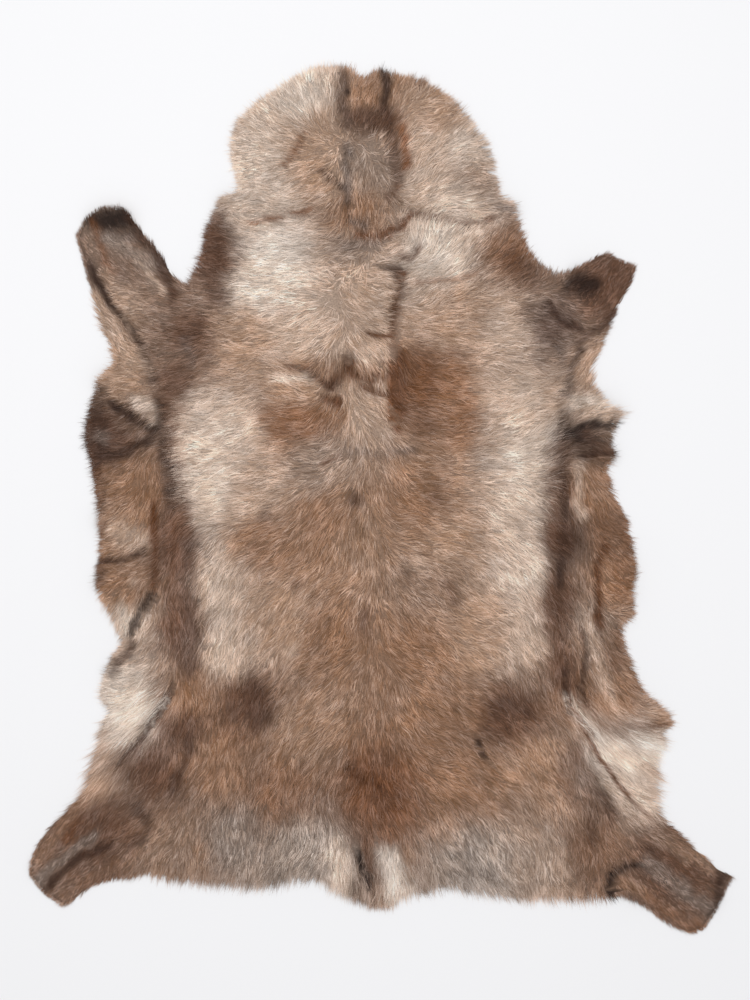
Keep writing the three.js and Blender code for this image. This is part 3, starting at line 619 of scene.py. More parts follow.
    "tail tongue": ([(-22, -500), (-14, -548)], 10, "brown", 0.75),
    "tail right": ([(14, -530), (38, -590)], 27, "ivory cream", 0.85),
    "tail tan": ([(42, -520), (30, -575)], 8, "fawn tan", 0.5),
    "right rump slate": ([(120, -540), (155, -560)], 42, "slate ash", 0.45),
    "right flank lock": ([(285, -300), (300, -330), (330, -350), (340, -380)], 15, "cream", 0.75),
    "right hind flank": ([(345, -365), (405, -372)], 40, "cream", 0.7),
    "right flank pale top": ([(345, -356), (395, -362), (425, -368)], 9, "ivory", 0.8),
    "right flank pale foot": (
        [(300, -325), (325, -350), (350, -385), (385, -425)], 8, "ivory", 0.5),
    "right flank tan": ([(335, -362), (370, -385), (420, -398)], 6, "tan", 0.6),
    "right flank tan foot": ([(375, -420), (410, -440)], 12, "fawn tan", 0.5),
    "right hind flank tan": ([(330, -334), (440, -336)], 9, "tan brown", 0.6),
    "right hind flank edge": (
        [(283, -300), (305, -345), (335, -395), (365, -435), (400, -470)],
        4, "rust umber", 0.8),
    "right hind flank body": (
        [(345, -360), (375, -405), (405, -450)], 28, "cream bisque", 0.75),
    "right hind flank tip": ([(405, -318), (440, -335)], 14, "bisque tan", 0.6),
    "right thigh brown": ([(300, -385), (318, -430), (345, -475)], 24, "brown", 0.65),
    "right thigh crease": ([(325, -430), (350, -465)], 14, "umber", 0.5),
    "right thigh dark": ([(315, -465), (315, -505)], 18, "umber", 0.5),
    "right hock spot": ([(400, -518)], 13, "umber", 0.7),
    # Painted shade in the pocket under the hock's curl.
    "right hock pocket": ([(345, -590), (345, -560), (365, -550), (390, -545)], 8, "sable", 0.85),
    "right shin slate": ([(400, -540), (450, -580), (500, -615)], 19, "slate ash", 0.6),
    "right shin tan": ([(415, -498), (495, -550)], 20, "tan greige", 0.65),
    "right shin rust": ([(400, -590), (450, -632), (480, -640)], 15, "rust tan", 0.6),
    "right hock tan": ([(365, -572), (392, -590)], 13, "tan", 0.7),
    "right hind hoof": ([(512, -566), (508, -620)], 13, "sable umber", 0.75),
}
CORNER_CUTS = 2  # times that the corners of a marking's line are cut
WOBBLE = 5  # how far noise shakes the edges of the tones and markings
NARROW_WOBBLE = 0.4  # and those of a narrow marking, as a share of its reach, where that is less
THIN_SPREAD = 1.5  # how much further a thin marking reaches than its row says
THIN_BOLDNESS = 1.3  # and how many times as strongly it takes over
MARKING_HOLD = 1.25  # above 1, the middle of a marking's reach has its full strength
GAP_HOLD = 1.4  # and so has the middle of a gap's

# The noises: the step between their random values, their seed, and how far they go either way.
NOISES = {
    "wool tufts": (31, 11, 0.07),
    "fine wool tufts": (13, 12, 0.05),
    "tone edges across": (17, 21, 1),
    "tone edges along": (17, 22, 1),
    "fine tone edges across": (6, 23, 0.7),
    "fine tone edges along": (6, 24, 0.7),
    "lie": (26, 31, 15),  # in degrees
    "fine lie": (11, 32, 10),
    "shade patches": (38, 52, 0.16),
    "fine shade patches": (13, 51, 0.20),
    "clumps": (7, 53, 1),
    "colour patches": (27, 54, 0.1),
}
NOISE_SIDE = 512  # random values along a noise's side, after which it repeats

LATTICE_STEP = 4  # between the points that the coat's fields are worked out at
PAINT_STEP = 2  # and between those that its colours are worked out at
LATTICE_MARGIN = 60  # past the plan's cut edge, on every side

TRIM_SHARE = 0.5  # the skin stops short of the outline by this share of the hair's depth
TRIM_MOST = 28  # but by no more than this
TRIM_FADE = 60  # and less and less up to this far inland

# How hair grows: where it is short and where shaggy, and how far its locks stray from the lie.
SHORT_PILE = 8  # the depth of pile up to which the hair is short
SHAGGY_PILE = 13  # and the depth from which it is shaggy
AGREEMENT = 0.75  # the length of a blended lie from which the places round it agree
SLEEK_CALM = 0.6  # how much less the sleekest hair strays
TURN_SPREAD = 9  # degrees by which chance turns the locks
EVEN_CHANCE = 0.06  # chance in a lock's direction where the lies agree
LOOSE_CHANCE = 0.7  # and how much more of it where they cancel
FRINGE_REACH = 20  # shaggy locks turn outward this near the cut edge
FRINGE_TURN = 0.5  # and this strongly at the edge itself
PAST_EDGE = 1  # how far past the cut edge any hair may reach
LEAST_OUTWARD = 0.05  # hair that points less outward than this isn't held to the outline
SHORTEST = 4  # and no hair is held shorter than this

HAIRS_IN_LOCK = 4  # hairs in a lock of the coat
LOCK_SPREAD = 1.2  # how far round a lock's middle its hairs grow
LOCK_FAN = 5  # degrees by which the hairs of a lock spread

# The shape of a hair.
BEND_SPREAD = 0.08  # its sideways bend, as a share of its length
ROLL_SPREAD = 0.5  # its roll about its own line, in radians
GATHER = 0.7  # the share of the way to its lock's middle that its tip comes
ROOT_DEPTH = 1.2  # how far under the wool's face it starts
RISE_POWER = 0.8  # the share along, raised to this, gives its rise
TAPER_POWER = 1.8  # and raised to this, what is gone of its width
LOWEST_MIDDLE = 0.6  # the least height of its middle line
LOWEST_SIDE = 0.4  # and of its sides

# The colour of a hair. Chance is counted in steps of its tone's own contrast.
COAT_KEEPS = 0.2  # the share of the way back to its root that a coat hair's colour is read at
GUARD_KEEPS = 0.9  # and a guard hair's
LOCK_CHANCE = 0.45  # how much lighter or darker chance makes a lock as a whole
HAIR_CHANCE = 0.8  # and each hair by itself
CLUMP_CHANCE = 0.8  # and noise makes a clump of hair
SLEEK_CHANCE = 0.8  # and how much more it does so where the hair is sleek
MOST_CHANCE = 1.5  # the most steps lighter that these three make a hair
STRENGTH = 1.03  # how strong its colour is, against its tone's
PALE_LOSS = 0.18  # how much of that it loses with each step lighter
STRENGTH_SPREAD = 0.05  # and how much chance changes it
STRENGTH_RANGE = (0.6, 1.35)  # the greyest and the strongest that it gets
SHADE_RANGE = (0.004, 0.95)  # the darkest and the palest that any part of its colour gets

CELL_SIDE = 0.1  # how far inside its cell of the map for baking a hair's sides lie
CELL_END = 0.06  # and its root and tip

# The pieces of the coat.
WOOL = "reindeer_wool"
HAIR_ZONES = [
    "reindeer_hair_neck",
    "reindeer_hair_shoulders",
    "reindeer_hair_back",
    "reindeer_hair_rump",
]
GUARD_HAIR = "reindeer_guard_hair"


# Settings


def colour_property(name, description, default):
    """A colour that a user may change."""
    return bpy.props.FloatVectorProperty(
        name=name, description=description, subtype="COLOR", size=3, min=0, max=1, default=default
    )


class CoatTones(bpy.types.PropertyGroup):
    """The colours of the coat's tones."""

    __annotations__ = {
        tone: colour_property(tone.capitalize(), f"Colour of the coat's {tone} hair", colour)
        for tone, (colour, _) in TONES.items()
    }


class HideSettings(bpy.types.PropertyGroup):
    """Sizes of the skin and its coat."""

    skin_thickness: bpy.props.FloatProperty(
        name="Skin thickness",
        description="Thickness of the tanned leather",
        default=1.5 * MM,
        min=0.5 * MM,
        max=3 * MM,
        unit="LENGTH",
    )
    rim_slope: bpy.props.FloatProperty(
        name="Rim slope",
        description="Distance from the cut edge over which the pile lies down",
        default=34 * MM,
        min=5 * MM,
        unit="LENGTH",
    )
    skin_colour: colour_property(
        "Skin colour", "Colour of the tanned flesh side", (0.56, 0.44, 0.33)
    )
    wool_share: bpy.props.FloatProperty(
        name="Wool share",
        description="Share of the pile's depth that the dense underwool fills",
        default=0.78,
        min=0.3,
        max=0.95,
        subtype="FACTOR",
    )
    hairs: bpy.props.IntProperty(
        name="Hairs",
        description="Number of hairs in the coat, in all of its zones together",
        default=228000,
        min=1000,
    )
    guard_hairs: bpy.props.IntProperty(
        name="Guard hairs",
        description="Number of long hairs along the cut edge, on the tail and on the hind flanks",
        default=34000,
        min=100,
    )
    hair_width: bpy.props.FloatProperty(
        name="Hair width",
        description="Width of one drawn hair at its root",
        default=1.2 * MM,
        min=0.2 * MM,
        unit="LENGTH",
    )


class StageSettings(bpy.types.PropertyGroup):
    """The floor, the light and the camera."""

    floor_colour: colour_property(
        "Floor colour", "Colour of the plain pale floor", (0.82, 0.825, 0.84)
    )
    light_power: bpy.props.FloatProperty(
        name="Light power",
        description="Power of the large soft light",
        default=66,
        min=0,
        unit="POWER",
    )
    sky_strength: bpy.props.FloatProperty(
        name="Sky strength",
        description="Strength of the even light from all round",
        default=0.68,
        min=0,
    )
    lens: bpy.props.FloatProperty(
        name="Lens",
        description="Focal length of the camera",
        default=85,
        min=20,
        unit="CAMERA",
    )
    view_height: bpy.props.FloatProperty(
        name="View height",
        description="Height of the picture, measured on the hide",
        default=1.5,
        min=0.1,
        unit="LENGTH",
    )


# The plan of the hide


def even_line(start, by, end, pieces):
    """A quadratic curve's points: start, by and end weighted by (1-t)^2, 2t(1-t) and t^2."""
    t = np.linspace(0, 1, pieces + 1)[:, None]
    start, by, end = (np.asarray(point, float) for point in (start, by, end))
    return (1 - t) ** 2 * start + 2 * t * (1 - t) * by + t**2 * end


def distance_to_line(points, line):
    """The least distance from each point to the straight pieces of a line."""
    nearest = np.full(len(points), np.inf)
    for a, b in zip(line[:-1], line[1:]):
        along = b - a
        share = np.clip((points - a) @ along / max(along @ along, 1e-9), 0, 1)
        offset = points - a - share[:, None] * along
        nearest = np.minimum(nearest, np.hypot(offset[:, 0], offset[:, 1]))
    return nearest


def trunk_grid():
    """The trunk's plan points, and the row of each named section.

    A point is the left end plus a share of the way to the right end. The share crowds the columns
    towards the sides by a sine, and the two cut ends' outlines are added and fade inwards as the
    square of what is left of their fade.
    """
    names = list(TRUNK)
    ends = np.array([TRUNK[name] for name in names], float)
    gaps = np.linalg.norm(np.diff(ends, axis=0), axis=2).max(axis=1)
    pieces = np.ceil(gaps / ROW_STEP).astype(int)
    place = np.concatenate([i + np.arange(n) / n for i, n in enumerate(pieces)] + [[len(gaps)]])
    steps = np.arange(len(names))
    sides = np.stack(
        [[np.interp(place, steps, ends[:, side, axis]) for axis in (0, 1)] for side in (0, 1)]
    ).transpose(0, 2, 1)
    even = np.arange(COLUMNS + 1) / COLUMNS
    share = even - SIDE_CROWDING * np.sin(2 * np.pi * even) / (2 * np.pi)
    grid = sides[0][:, None] + share[None, :, None] * (sides[1] - sides[0])[:, None]
    middle_y = sides[:, :, 1].mean(axis=0)
    near_crown = np.clip(1 - (middle_y[0] - middle_y) / CROWN_FADE, 0, 1) ** 2
    near_rump = np.clip(1 - (middle_y - middle_y[-1]) / RUMP_FADE, 0, 1) ** 2
    grid[:, :, 1] += near_crown[:, None] * np.interp(share, *zip(*CROWN_EDGE))
    grid[:, :, 1] -= near_rump[:, None] * np.interp(share, *zip(*RUMP_EDGE))
    row_of = dict(zip(names, np.concatenate([[0], np.cumsum(pieces)])))
    return grid, row_of


def leg_grid(leg, trunk, row_of):
    """A leg's plan points, from the trunk's side to its cut end.

    The first row is the stretch of the trunk's side between the two root sections. Each later row
    has its points at that row's shares of the way from the front edge to the back edge, the last
    one bulges by a sine, and further rows lie evenly between two sections.
    """
    side, first, last, tip, sections = leg
    root = trunk[row_of[first] : row_of[last] + 1, 0 if side == "left" else -1]
    run = np.concatenate([[0], np.cumsum(np.linalg.norm(np.diff(root, axis=0), axis=1))])
    share = (run / run[-1])[:, None]
    rows = [root]
    for front, back in np.array(sections, float):
        rows.append(front + share * (back - front))
    front, back = np.array(sections[-1], float)
    outward = np.array([back[1] - front[1], front[0] - back[0]]) / np.linalg.norm(back - front)
    rows[-1] = rows[-1] + (tip if side == "left" else -tip) * np.sin(np.pi * share) * outward
    rows = np.array(rows)
    place = np.linspace(0, len(rows) - 1, (len(rows) - 1) * LEG_STEPS + 1)
    low = np.minimum(place.astype(int), len(rows) - 2)
    part = (place - low)[:, None, None]
    return rows[low] * (1 - part) + rows[low + 1] * part


def grid_quads(shape, first):
    """The corner numbers of a grid's cells, when its points are numbered row by row from first."""
    number = first + np.arange(shape[0] * shape[1]).reshape(shape[:2])
    corners = [number[:-1, :-1], number[1:, :-1], number[1:, 1:], number[:-1, 1:]]
    return np.stack(corners, -1).reshape(-1, 4)


@functools.cache
def hide_plan():
    """The welded plan: its points, its anticlockwise cells and the directed sides of its cut edge."""
    trunk, row_of = trunk_grid()
    grids = [trunk] + [leg_grid(leg, trunk, row_of) for leg in LEGS.values()]
    firsts = np.cumsum([0] + [grid.shape[0] * grid.shape[1] for grid in grids[:-1]])
    quads = np.concatenate([grid_quads(grid.shape, first) for grid, first in zip(grids, firsts)])
    loose = np.concatenate([grid.reshape(-1, 2) for grid in grids])
    _, keep, weld = np.unique(np.round(loose, 2), axis=0, return_index=True, return_inverse=True)
    points, quads = loose[keep], weld.reshape(-1)[quads]
    diagonals = points[quads[:, 2:]] - points[quads[:, :2]]
    turn = diagonals[:, 0, 0] * diagonals[:, 1, 1] - diagonals[:, 0, 1] * diagonals[:, 1, 0]
    quads[turn < 0] = quads[turn < 0][:, ::-1]
    quads = quads[turn != 0]
    sides = np.stack([quads, np.roll(quads, -1, axis=1)], -1).reshape(-1, 2)
    key = sides[:, 0] * len(points) + sides[:, 1]
    twin = sides[:, 1] * len(points) + sides[:, 0]
    edge = sides[~np.isin(key, twin)]
    return points, quads, edge


def plan_middle():
    """The middle of the plan's box, which is where the frame has its origin."""
    points = hide_plan()[0]
    return (points.min(axis=0) + points.max(axis=0)) / 2


def blend_places(points, places, values, blend, power):
    """Values between places: each one counts by distance^2 + blend^2, raised to minus the power."""
    places, values = np.asarray(places, float), np.asarray(values, float)
    total, weights = np.zeros((len(points), values.shape[1])), np.zeros(len(points))
    for place, value in zip(places, values):
        offset = points - place
        weight = (offset[:, 0] ** 2 + offset[:, 1] ** 2 + blend**2) ** -power
        total += weight[:, None] * value
        weights += weight
    return total / weights[:, None]


def near_line(points, line, reach):
    """Which points lie in a line's box widened by its reach, and how far those are from the line."""
    low, high = line.min(axis=0) - reach, line.max(axis=0) + reach
    close = np.flatnonzero(np.all((points > low) & (points < high), axis=1))
    return close, distance_to_line(points[close], line)


def folds_at(points, rows):
    """What the folds do at each point: how far they lift the skin, and the share of pile left.

    Across its reach a fold acts as a raised cosine of the distance to its line. The highest lift
    counts, and the shares that the creases leave are multiplied.
    """
    lift, left = np.zeros(len(points)), np.ones(len(points))
    for line, reach, rise, part in rows:
        close, near = near_line(points, line, reach)
        bell = np.where(near < reach, 0.5 + 0.5 * np.cos(np.pi * near / reach), 0)
        lift[close] = np.maximum(lift[close], rise * bell)
        left[close] *= 1 - part * bell
    return lift, left


def fold_rows():
    """The folds' lines, and those of the fine creases that the thin dark markings lie in."""
    rows = [
        (even_line(start, by, end, FOLD_STEPS), *rest) for start, by, end, *rest in FOLDS.values()
    ]
    for places, reach, tone, strength in MARKINGS.values():
        if reach <= THIN and tone.split()[0] in DARK:
            rows.append((marking_line(places), THIN, 0, CREASE * strength))
    return rows


def long_hair_at(points):
    """At each point: the long hair's extra length, how thickly it grows and how sleekly it lies."""
    found = np.zeros((len(points), 3))
    for start, by, end, reach, *most in LONG_HAIR.values():
        near = distance_to_line(points, even_line(start, by, end, FOLD_STEPS))
        found = np.maximum(found, fade_out(near, reach)[:, None] * most)
    return found


def gaps_at(points):
    """How far inside the cut edge the fringe ends near each point."""
    found = np.zeros(len(points))
    for place, reach, inside in GAPS.values():
        near = np.hypot(*(points - place).T)
        found = np.maximum(found, inside * fade_out(near, reach, GAP_HOLD))
    return found


def smooth_step(x):
    """3x^2 - 2x^3 between 0 and 1."""
    x = np.clip(x, 0, 1)
    return x * x * (3 - 2 * x)


def fade_out(near, reach, hold=1):
    """From 1 at no distance to 0 at the reach: the smooth step of hold times what is left of it."""
    return smooth_step(hold * (1 - near / reach))


def noise_at(points, name):
    """One of the noises: random values on a square lattice of its step, eased in between."""
    size, seed, most = NOISES[name]
    values = np.random.default_rng(seed).uniform(-1, 1, (NOISE_SIDE, NOISE_SIDE))
    low = np.floor(points / size).astype(int)
    ease = smooth_step(points / size - low)
    i, j = (low % NOISE_SIDE).T
    i1, j1 = (i + 1) % NOISE_SIDE, (j + 1) % NOISE_SIDE
    bottom = values[i, j] * (1 - ease[:, 0]) + values[i1, j] * ease[:, 0]
    top = values[i, j1] * (1 - ease[:, 0]) + values[i1, j1] * ease[:, 0]
    return most * (bottom * (1 - ease[:, 1]) + top * ease[:, 1])


class Lattice:
    """Fields over the plan and a margin round it, on a square lattice of the given step."""

    def __init__(self, step):
        plan = hide_plan()[0]
        self.low, self.step = plan.min(axis=0) - LATTICE_MARGIN, step
        high = plan.max(axis=0) + LATTICE_MARGIN
        self.shape = tuple(np.ceil((high - self.low) / step).astype(int) + 1)
        axes = [self.low[k] + step * np.arange(self.shape[k]) for k in (0, 1)]
        self.points = np.stack(np.meshgrid(*axes, indexing="ij"), -1).reshape(-1, 2)
        self.fields = {}

    def add(self, name, values):
        """Keep a field, given at every lattice point."""
        self.fields[name] = values.reshape(*self.shape, -1)

    def slope(self, name):
        """The unit direction in which a field rises most, after it is smoothed twice each way."""
        field = self.fields[name][:, :, 0]
        for axis in (0, 1, 0, 1):
            field = (np.roll(field, 1, axis) + 2 * field + np.roll(field, -1, axis)) / 4
        slope = np.stack(np.gradient(field, self.step), -1)
        return slope / np.maximum(np.linalg.norm(slope, axis=-1, keepdims=True), 1e-6)

    def read(self, name, points):
        """A field at any points: the four lattice points round each one, weighted by nearness."""
        field = self.fields[name]
        last = np.array(self.shape) - 1.001  # just short of the last point, which has none after it
        place = np.clip((points - self.low) / self.step, 0, last)
        low = place.astype(int)
        part = (place - low)[:, :, None]
        i, j = low[:, 0], low[:, 1]
        near = field[i, j] * (1 - part[:, 0]) + field[i + 1, j] * part[:, 0]
        far = field[i, j + 1] * (1 - part[:, 0]) + field[i + 1, j + 1] * part[:, 0]
        found = near * (1 - part[:, 1]) + far * part[:, 1]
        return found[:, 0] if found.shape[1] == 1 else found


def inside_edge(points, edge_points):
    """Whether points lie inside the cut edge: a ray from one crosses it an odd number of times."""
    odd = np.zeros(len(points), bool)
    for (ax, ay), (bx, by) in edge_points:
        if ay == by:
            continue
        crosses = (ay > points[:, 1]) != (by > points[:, 1])
        odd ^= crosses & (points[:, 0] < ax + (points[:, 1] - ay) * (bx - ax) / (by - ay))
    return odd


@functools.cache
def coat_fields():
    """The coat's fields: distance inland, pile, hair length, lift, pile left, long hair and lie."""
    points, _, edge = hide_plan()
    lattice = Lattice(LATTICE_STEP)
    at = lattice.points
    edge_points = points[edge]
    inland = np.full(len(at), np.inf)
    for piece in edge_points:
        inland = np.minimum(inland, distance_to_line(at, piece))
    lattice.add("inland", np.where(inside_edge(at, edge_points), inland, -inland))
    lattice.add("inward", lattice.slope("inland"))
    places, *pile = zip(*PILE.values())
    pile = blend_places(at, places, np.transpose(pile), PILE_BLEND, 1)
    lattice.add("pile", pile[:, 0])
    lattice.add("length", pile[:, 1])
    lift, left = folds_at(at, fold_rows())
    lattice.add("lift", lift)
    lattice.add("left", left)
    for name, values in zip(("longer", "thick", "sleek"), long_hair_at(at).T):
        lattice.add(name, values)
    lattice.add("gap", gaps_at(at))
    rows = np.array([row for part in LIE.values() for row in part], float)
    angles = np.radians(rows[:, 2])
    lies = np.stack([np.cos(angles), np.sin(angles)], -1)
    lattice.add("lie", blend_places(at, rows[:, :2], lies, LIE_BLEND, 2))
    return lattice


def face_of_wool(points, settings):
    """Height of the underwool's face: the lift, the skin and its share of the pile left there.

    The pile lies down towards the cut edge by a smooth step over the rim slope, and soft noise at
    two sizes gives it the unevenness of combed wool.
    """
    coat = coat_fields()
    cover = smooth_step(coat.read("inland", points) / (settings.rim_slope / MM))
    tufts = 1 + noise_at(points, "wool tufts") + noise_at(points, "fine wool tufts")
    depth = settings.wool_share * coat.read("pile", points) * coat.read("left", points) * tufts
    return coat.read("lift", points) + settings.skin_thickness / MM + depth * cover


def marking_line(places):
    """A marking's line through its places, with its corners cut a quarter of the way along."""
    line = np.array(places if len(places) > 1 else places * 2, float)
    for _ in range(CORNER_CUTS if len(places) > 2 else 0):
        early = 0.75 * line[:-1] + 0.25 * line[1:]
        late = 0.25 * line[:-1] + 0.75 * line[1:]
        cut = np.stack([early, late], axis=1).reshape(-1, 2)
        line = np.concatenate([line[:1], cut[1:-1], line[-1:]])
    return line


def paint_coat(points, tones):
    """The coat's colour at each point, and fourth how much one hair differs from the next there.

    The ground tones are blended between the parts of the body, and each marking then takes over
    by its strength, which a smooth step takes to nothing at its reach. A thin marking is drawn a
    little bolder, and noise shakes it less.
    """
    def of(names):
        mixed = [[*tones[tone], TONES[tone][1]] for tone in names.split()]
        return np.mean(mixed, axis=0)

    wobble = np.stack(
        [noise_at(points, f"tone edges {way}") + noise_at(points, f"fine tone edges {way}")
         for way in ("across", "along")], -1)
    moved = points + WOBBLE * wobble
    parts, tones_there = zip(*GROUND.values())
    paint = blend_places(moved, parts, [of(tone) for tone in tones_there], GROUND_BLEND, 2)
    for places, reach, tone, strength in MARKINGS.values():
        shaken = points + min(WOBBLE, NARROW_WOBBLE * reach) * wobble
        if reach <= THIN:
            reach, strength = reach + THIN_SPREAD, min(1, THIN_BOLDNESS * strength)
        close, near = near_line(shaken, marking_line(places), reach)
        share = strength * fade_out(near, reach, MARKING_HOLD)[:, None]
        paint[close] = paint[close] * (1 - share) + share * of(tone)
    return paint


@functools.cache
def paint_fields(colours):
    """The coat's colours and contrasts on their own lattice, from the tones and their colours."""
    lattice = Lattice(PAINT_STEP)
    lattice.add("paint", paint_coat(lattice.points, dict(colours)))
    return lattice


def painted(points, tones):
    """The coat's colour and its contrast at each point, four values in all."""
    colours = tuple((tone, tuple(getattr(tones, tone))) for tone in TONES)
    return paint_fields(colours).read("paint", points)


# Meshes


def new_piece(name, vertices, faces, material):
    """A mesh object from vertices in the tables' millimetres, placed in the frame's metres."""
    placed = np.array(vertices, float)
    placed[:, :2] -= plan_middle()
    mesh = bpy.data.meshes.new(name)
    mesh.vertices.add(len(placed))
    mesh.vertices.foreach_set("co", (placed * MM).ravel())
    corners = np.concatenate([np.asarray(group).ravel() for group in faces])
    sizes = np.concatenate([np.full(len(group), group.shape[1]) for group in faces])
    starts = np.concatenate([[0], np.cumsum(sizes)[:-1]])
    mesh.loops.add(len(corners))
    mesh.loops.foreach_set("vertex_index", corners.astype(np.int32))
    mesh.polygons.add(len(sizes))
    mesh.polygons.foreach_set("loop_start", starts.astype(np.int32))
    mesh.polygons.foreach_set("use_smooth", np.ones(len(sizes), bool))
    mesh.update(calc_edges=True)
    if mesh.validate():
        raise RuntimeError(f"{name} has faces that aren't valid")
    mesh.materials.append(material)
    piece = bpy.data.objects.new(name, mesh)
    bpy.context.scene.collection.objects.link(piece)
    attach(piece, "root")
    return piece


def set_attribute(mesh, name, kind, key, values):
    """Store an attribute at the mesh's points."""
    attribute = mesh.attributes.new(name, kind, "POINT")
    attribute.data.foreach_set(key, np.asarray(values, np.float32).ravel())


def with_alpha(colours):
    """Colours with a fourth value of 1."""
    return np.concatenate([colours, np.ones((len(colours), 1))], axis=1)


def trimmed_plan():
    """The plan drawn in from its cut edge, so that the hair and not the skin makes the outline.

    Each point moves inland by half of the pile's depth there, and by half of the long hair's extra
    length, or by a gap's own amount, fading to nothing as the square of what is left of the rim.
    """
    points, quads, edge = hide_plan()
    coat = coat_fields()
    fade = np.clip(1 - coat.read("inland", points) / TRIM_FADE, 0, 1) ** 2
    trim = TRIM_SHARE * (coat.read("pile", points) + coat.read("longer", points))
    trim = np.clip(np.maximum(trim, coat.read("gap", points)), 0, TRIM_MOST) * fade
    return points + trim[:, None] * coat.read("inward", points), quads, edge


def closed_layer(plan, quads, edge, under, over):
    """A closed layer: the cells at the upper height, turned over at the lower one, and a wall."""
    count = len(plan)
    vertices = np.concatenate([np.column_stack([plan, over]), np.column_stack([plan, under])])
    wall = np.stack([edge[:, 1], edge[:, 0], edge[:, 0] + count, edge[:, 1] + count], -1)
    return vertices, [np.concatenate([quads, quads[:, ::-1] + count, wall])]


def scatter_roots(count, rng):
    """Points spread evenly over the trimmed plan.

    A triangle is drawn by its share of the area, and a point in it by two random shares, the first
    one's root taken so that the spread is even.
    """
    plan, quads, _ = trimmed_plan()
    triangles = np.concatenate([quads[:, [0, 1, 2]], quads[:, [0, 2, 3]]])
    a, b, c = (plan[triangles[:, k]] for k in range(3))
    area = np.abs((b - a)[:, 0] * (c - a)[:, 1] - (b - a)[:, 1] * (c - a)[:, 0]) / 2
    drawn = rng.choice(len(triangles), count, p=area / area.sum())
    s = np.sqrt(rng.random(count))[:, None]
    t = rng.random(count)[:, None]
    return (1 - s) * a[drawn] + s * (1 - t) * b[drawn] + s * t * c[drawn]


def turned(directions, angles):
    """Plan directions turned anticlockwise by angles in radians."""
    cos, sin = np.cos(angles), np.sin(angles)
    x, y = directions[:, 0], directions[:, 1]
    return np.stack([cos * x - sin * y, sin * x + cos * y], -1)


def unit(vectors):
    """Vectors brought to a length of 1."""
    return vectors / np.maximum(np.linalg.norm(vectors, axis=1, keepdims=True), 1e-6)


def shagginess(points):
    """0 on the short hair of the legs and 1 on the long hair of the body."""
    pile = coat_fields().read("pile", points)
    return smooth_step((pile - SHORT_PILE) / (SHAGGY_PILE - SHORT_PILE))


def looseness(points):
    """0 where the places round a point agree on the lie, up to 1 where their lies cancel."""
    lie = coat_fields().read("lie", points)
    return np.clip(1 - np.linalg.norm(lie, axis=1) / AGREEMENT, 0, 1)


def lock_directions(middles, rng):
    """Which way each lock lies: the lie there, turned by noise, and outward near a shaggy edge.

    A little chance is added before the length is brought to 1, so that locks point every way
    where opposite lies meet and cancel. Sleek hair strays less.
    """
    coat = coat_fields()
    stray = 1 - SLEEK_CALM * coat.read("sleek", middles)
    turn = noise_at(middles, "lie") + noise_at(middles, "fine lie")
    turn += rng.normal(0, TURN_SPREAD, len(middles))
    directions = turned(coat.read("lie", middles), np.radians(turn * stray))
    chance = stray * (EVEN_CHANCE + LOOSE_CHANCE * looseness(middles))
    directions += chance[:, None] * rng.normal(0, 1, directions.shape)
    outward = np.clip(1 - coat.read("inland", middles) / FRINGE_REACH, 0, 1) * shagginess(middles)
    return unit(unit(directions) - FRINGE_TURN * outward[:, None] * coat.read("inward", middles))


def held_to_outline(roots, directions, lengths, spare):
    """Lengths cut so that no tip passes the cut edge, or a gap's, by more than its spare length."""
    coat = coat_fields()
    outward = -np.sum(directions * coat.read("inward", roots), axis=1)
    tips = roots + lengths[:, None] * directions
    room = np.maximum(coat.read("inland", roots) - coat.read("gap", tips), 0) + spare
    longest = room / np.maximum(outward, LEAST_OUTWARD)
    longest = np.where(outward > LEAST_OUTWARD, longest, np.inf)
    return np.clip(lengths, None, np.maximum(longest, SHORTEST))


def hair_ribbons(roots, middles, directions, lengths, widths, rise, segments, settings, rng):
    """Hairs as flat tapering ribbons: vertices, faces, and the share along of a hair's vertices.

    A ribbon's middle line starts in the wool, follows the wool's face along its direction and
    rises above it by the share along raised to RISE_POWER. It closes in on its lock's middle by the
    share squared, and its width shrinks by the share raised to TAPER_POWER. It is a pair of points
    at each step, side by side across the direction and rolled about it, and one point at the tip.
    """
    count = len(roots)
    shares = np.linspace(0, 1, segments + 1)
    bend = rng.normal(0, BEND_SPREAD, count)
    across = turned(directions, np.full(count, np.pi / 2))
    roll = rng.normal(0, ROLL_SPREAD, count)
    side = np.column_stack([across * np.cos(roll)[:, None], np.sin(roll)])
    rings = []
    for share in shares:
        plan = roots + (share * lengths)[:, None] * directions
        plan += (share**2 * bend * lengths)[:, None] * across
        plan -= GATHER * share**2 * (roots - middles)
        above = (ROOT_DEPTH + rise) * share**RISE_POWER
        height = face_of_wool(plan, settings) - ROOT_DEPTH + above
        centre = np.column_stack([plan, np.maximum(height, LOWEST_MIDDLE)])
        half = (widths * (1 - share**TAPER_POWER) / 2)[:, None] * side
        rings.append([centre] if share == 1 else [centre - half, centre + half])
    vertices = np.stack([point for ring in rings for point in ring], axis=1)
    vertices[:, :, 2] = np.maximum(vertices[:, :, 2], LOWEST_SIDE)
    size = vertices.shape[1]
    first = size * np.arange(count)[:, None]
    faces = [first + 2 * k + np.array([0, 1, 3, 2]) for k in range(segments - 1)]
    tip = first + size - np.array([3, 2, 1])
    along = np.array([share for share, ring in zip(shares, rings) for _ in ring])
    return vertices.reshape(-1, 3), [np.concatenate(faces), tip], along


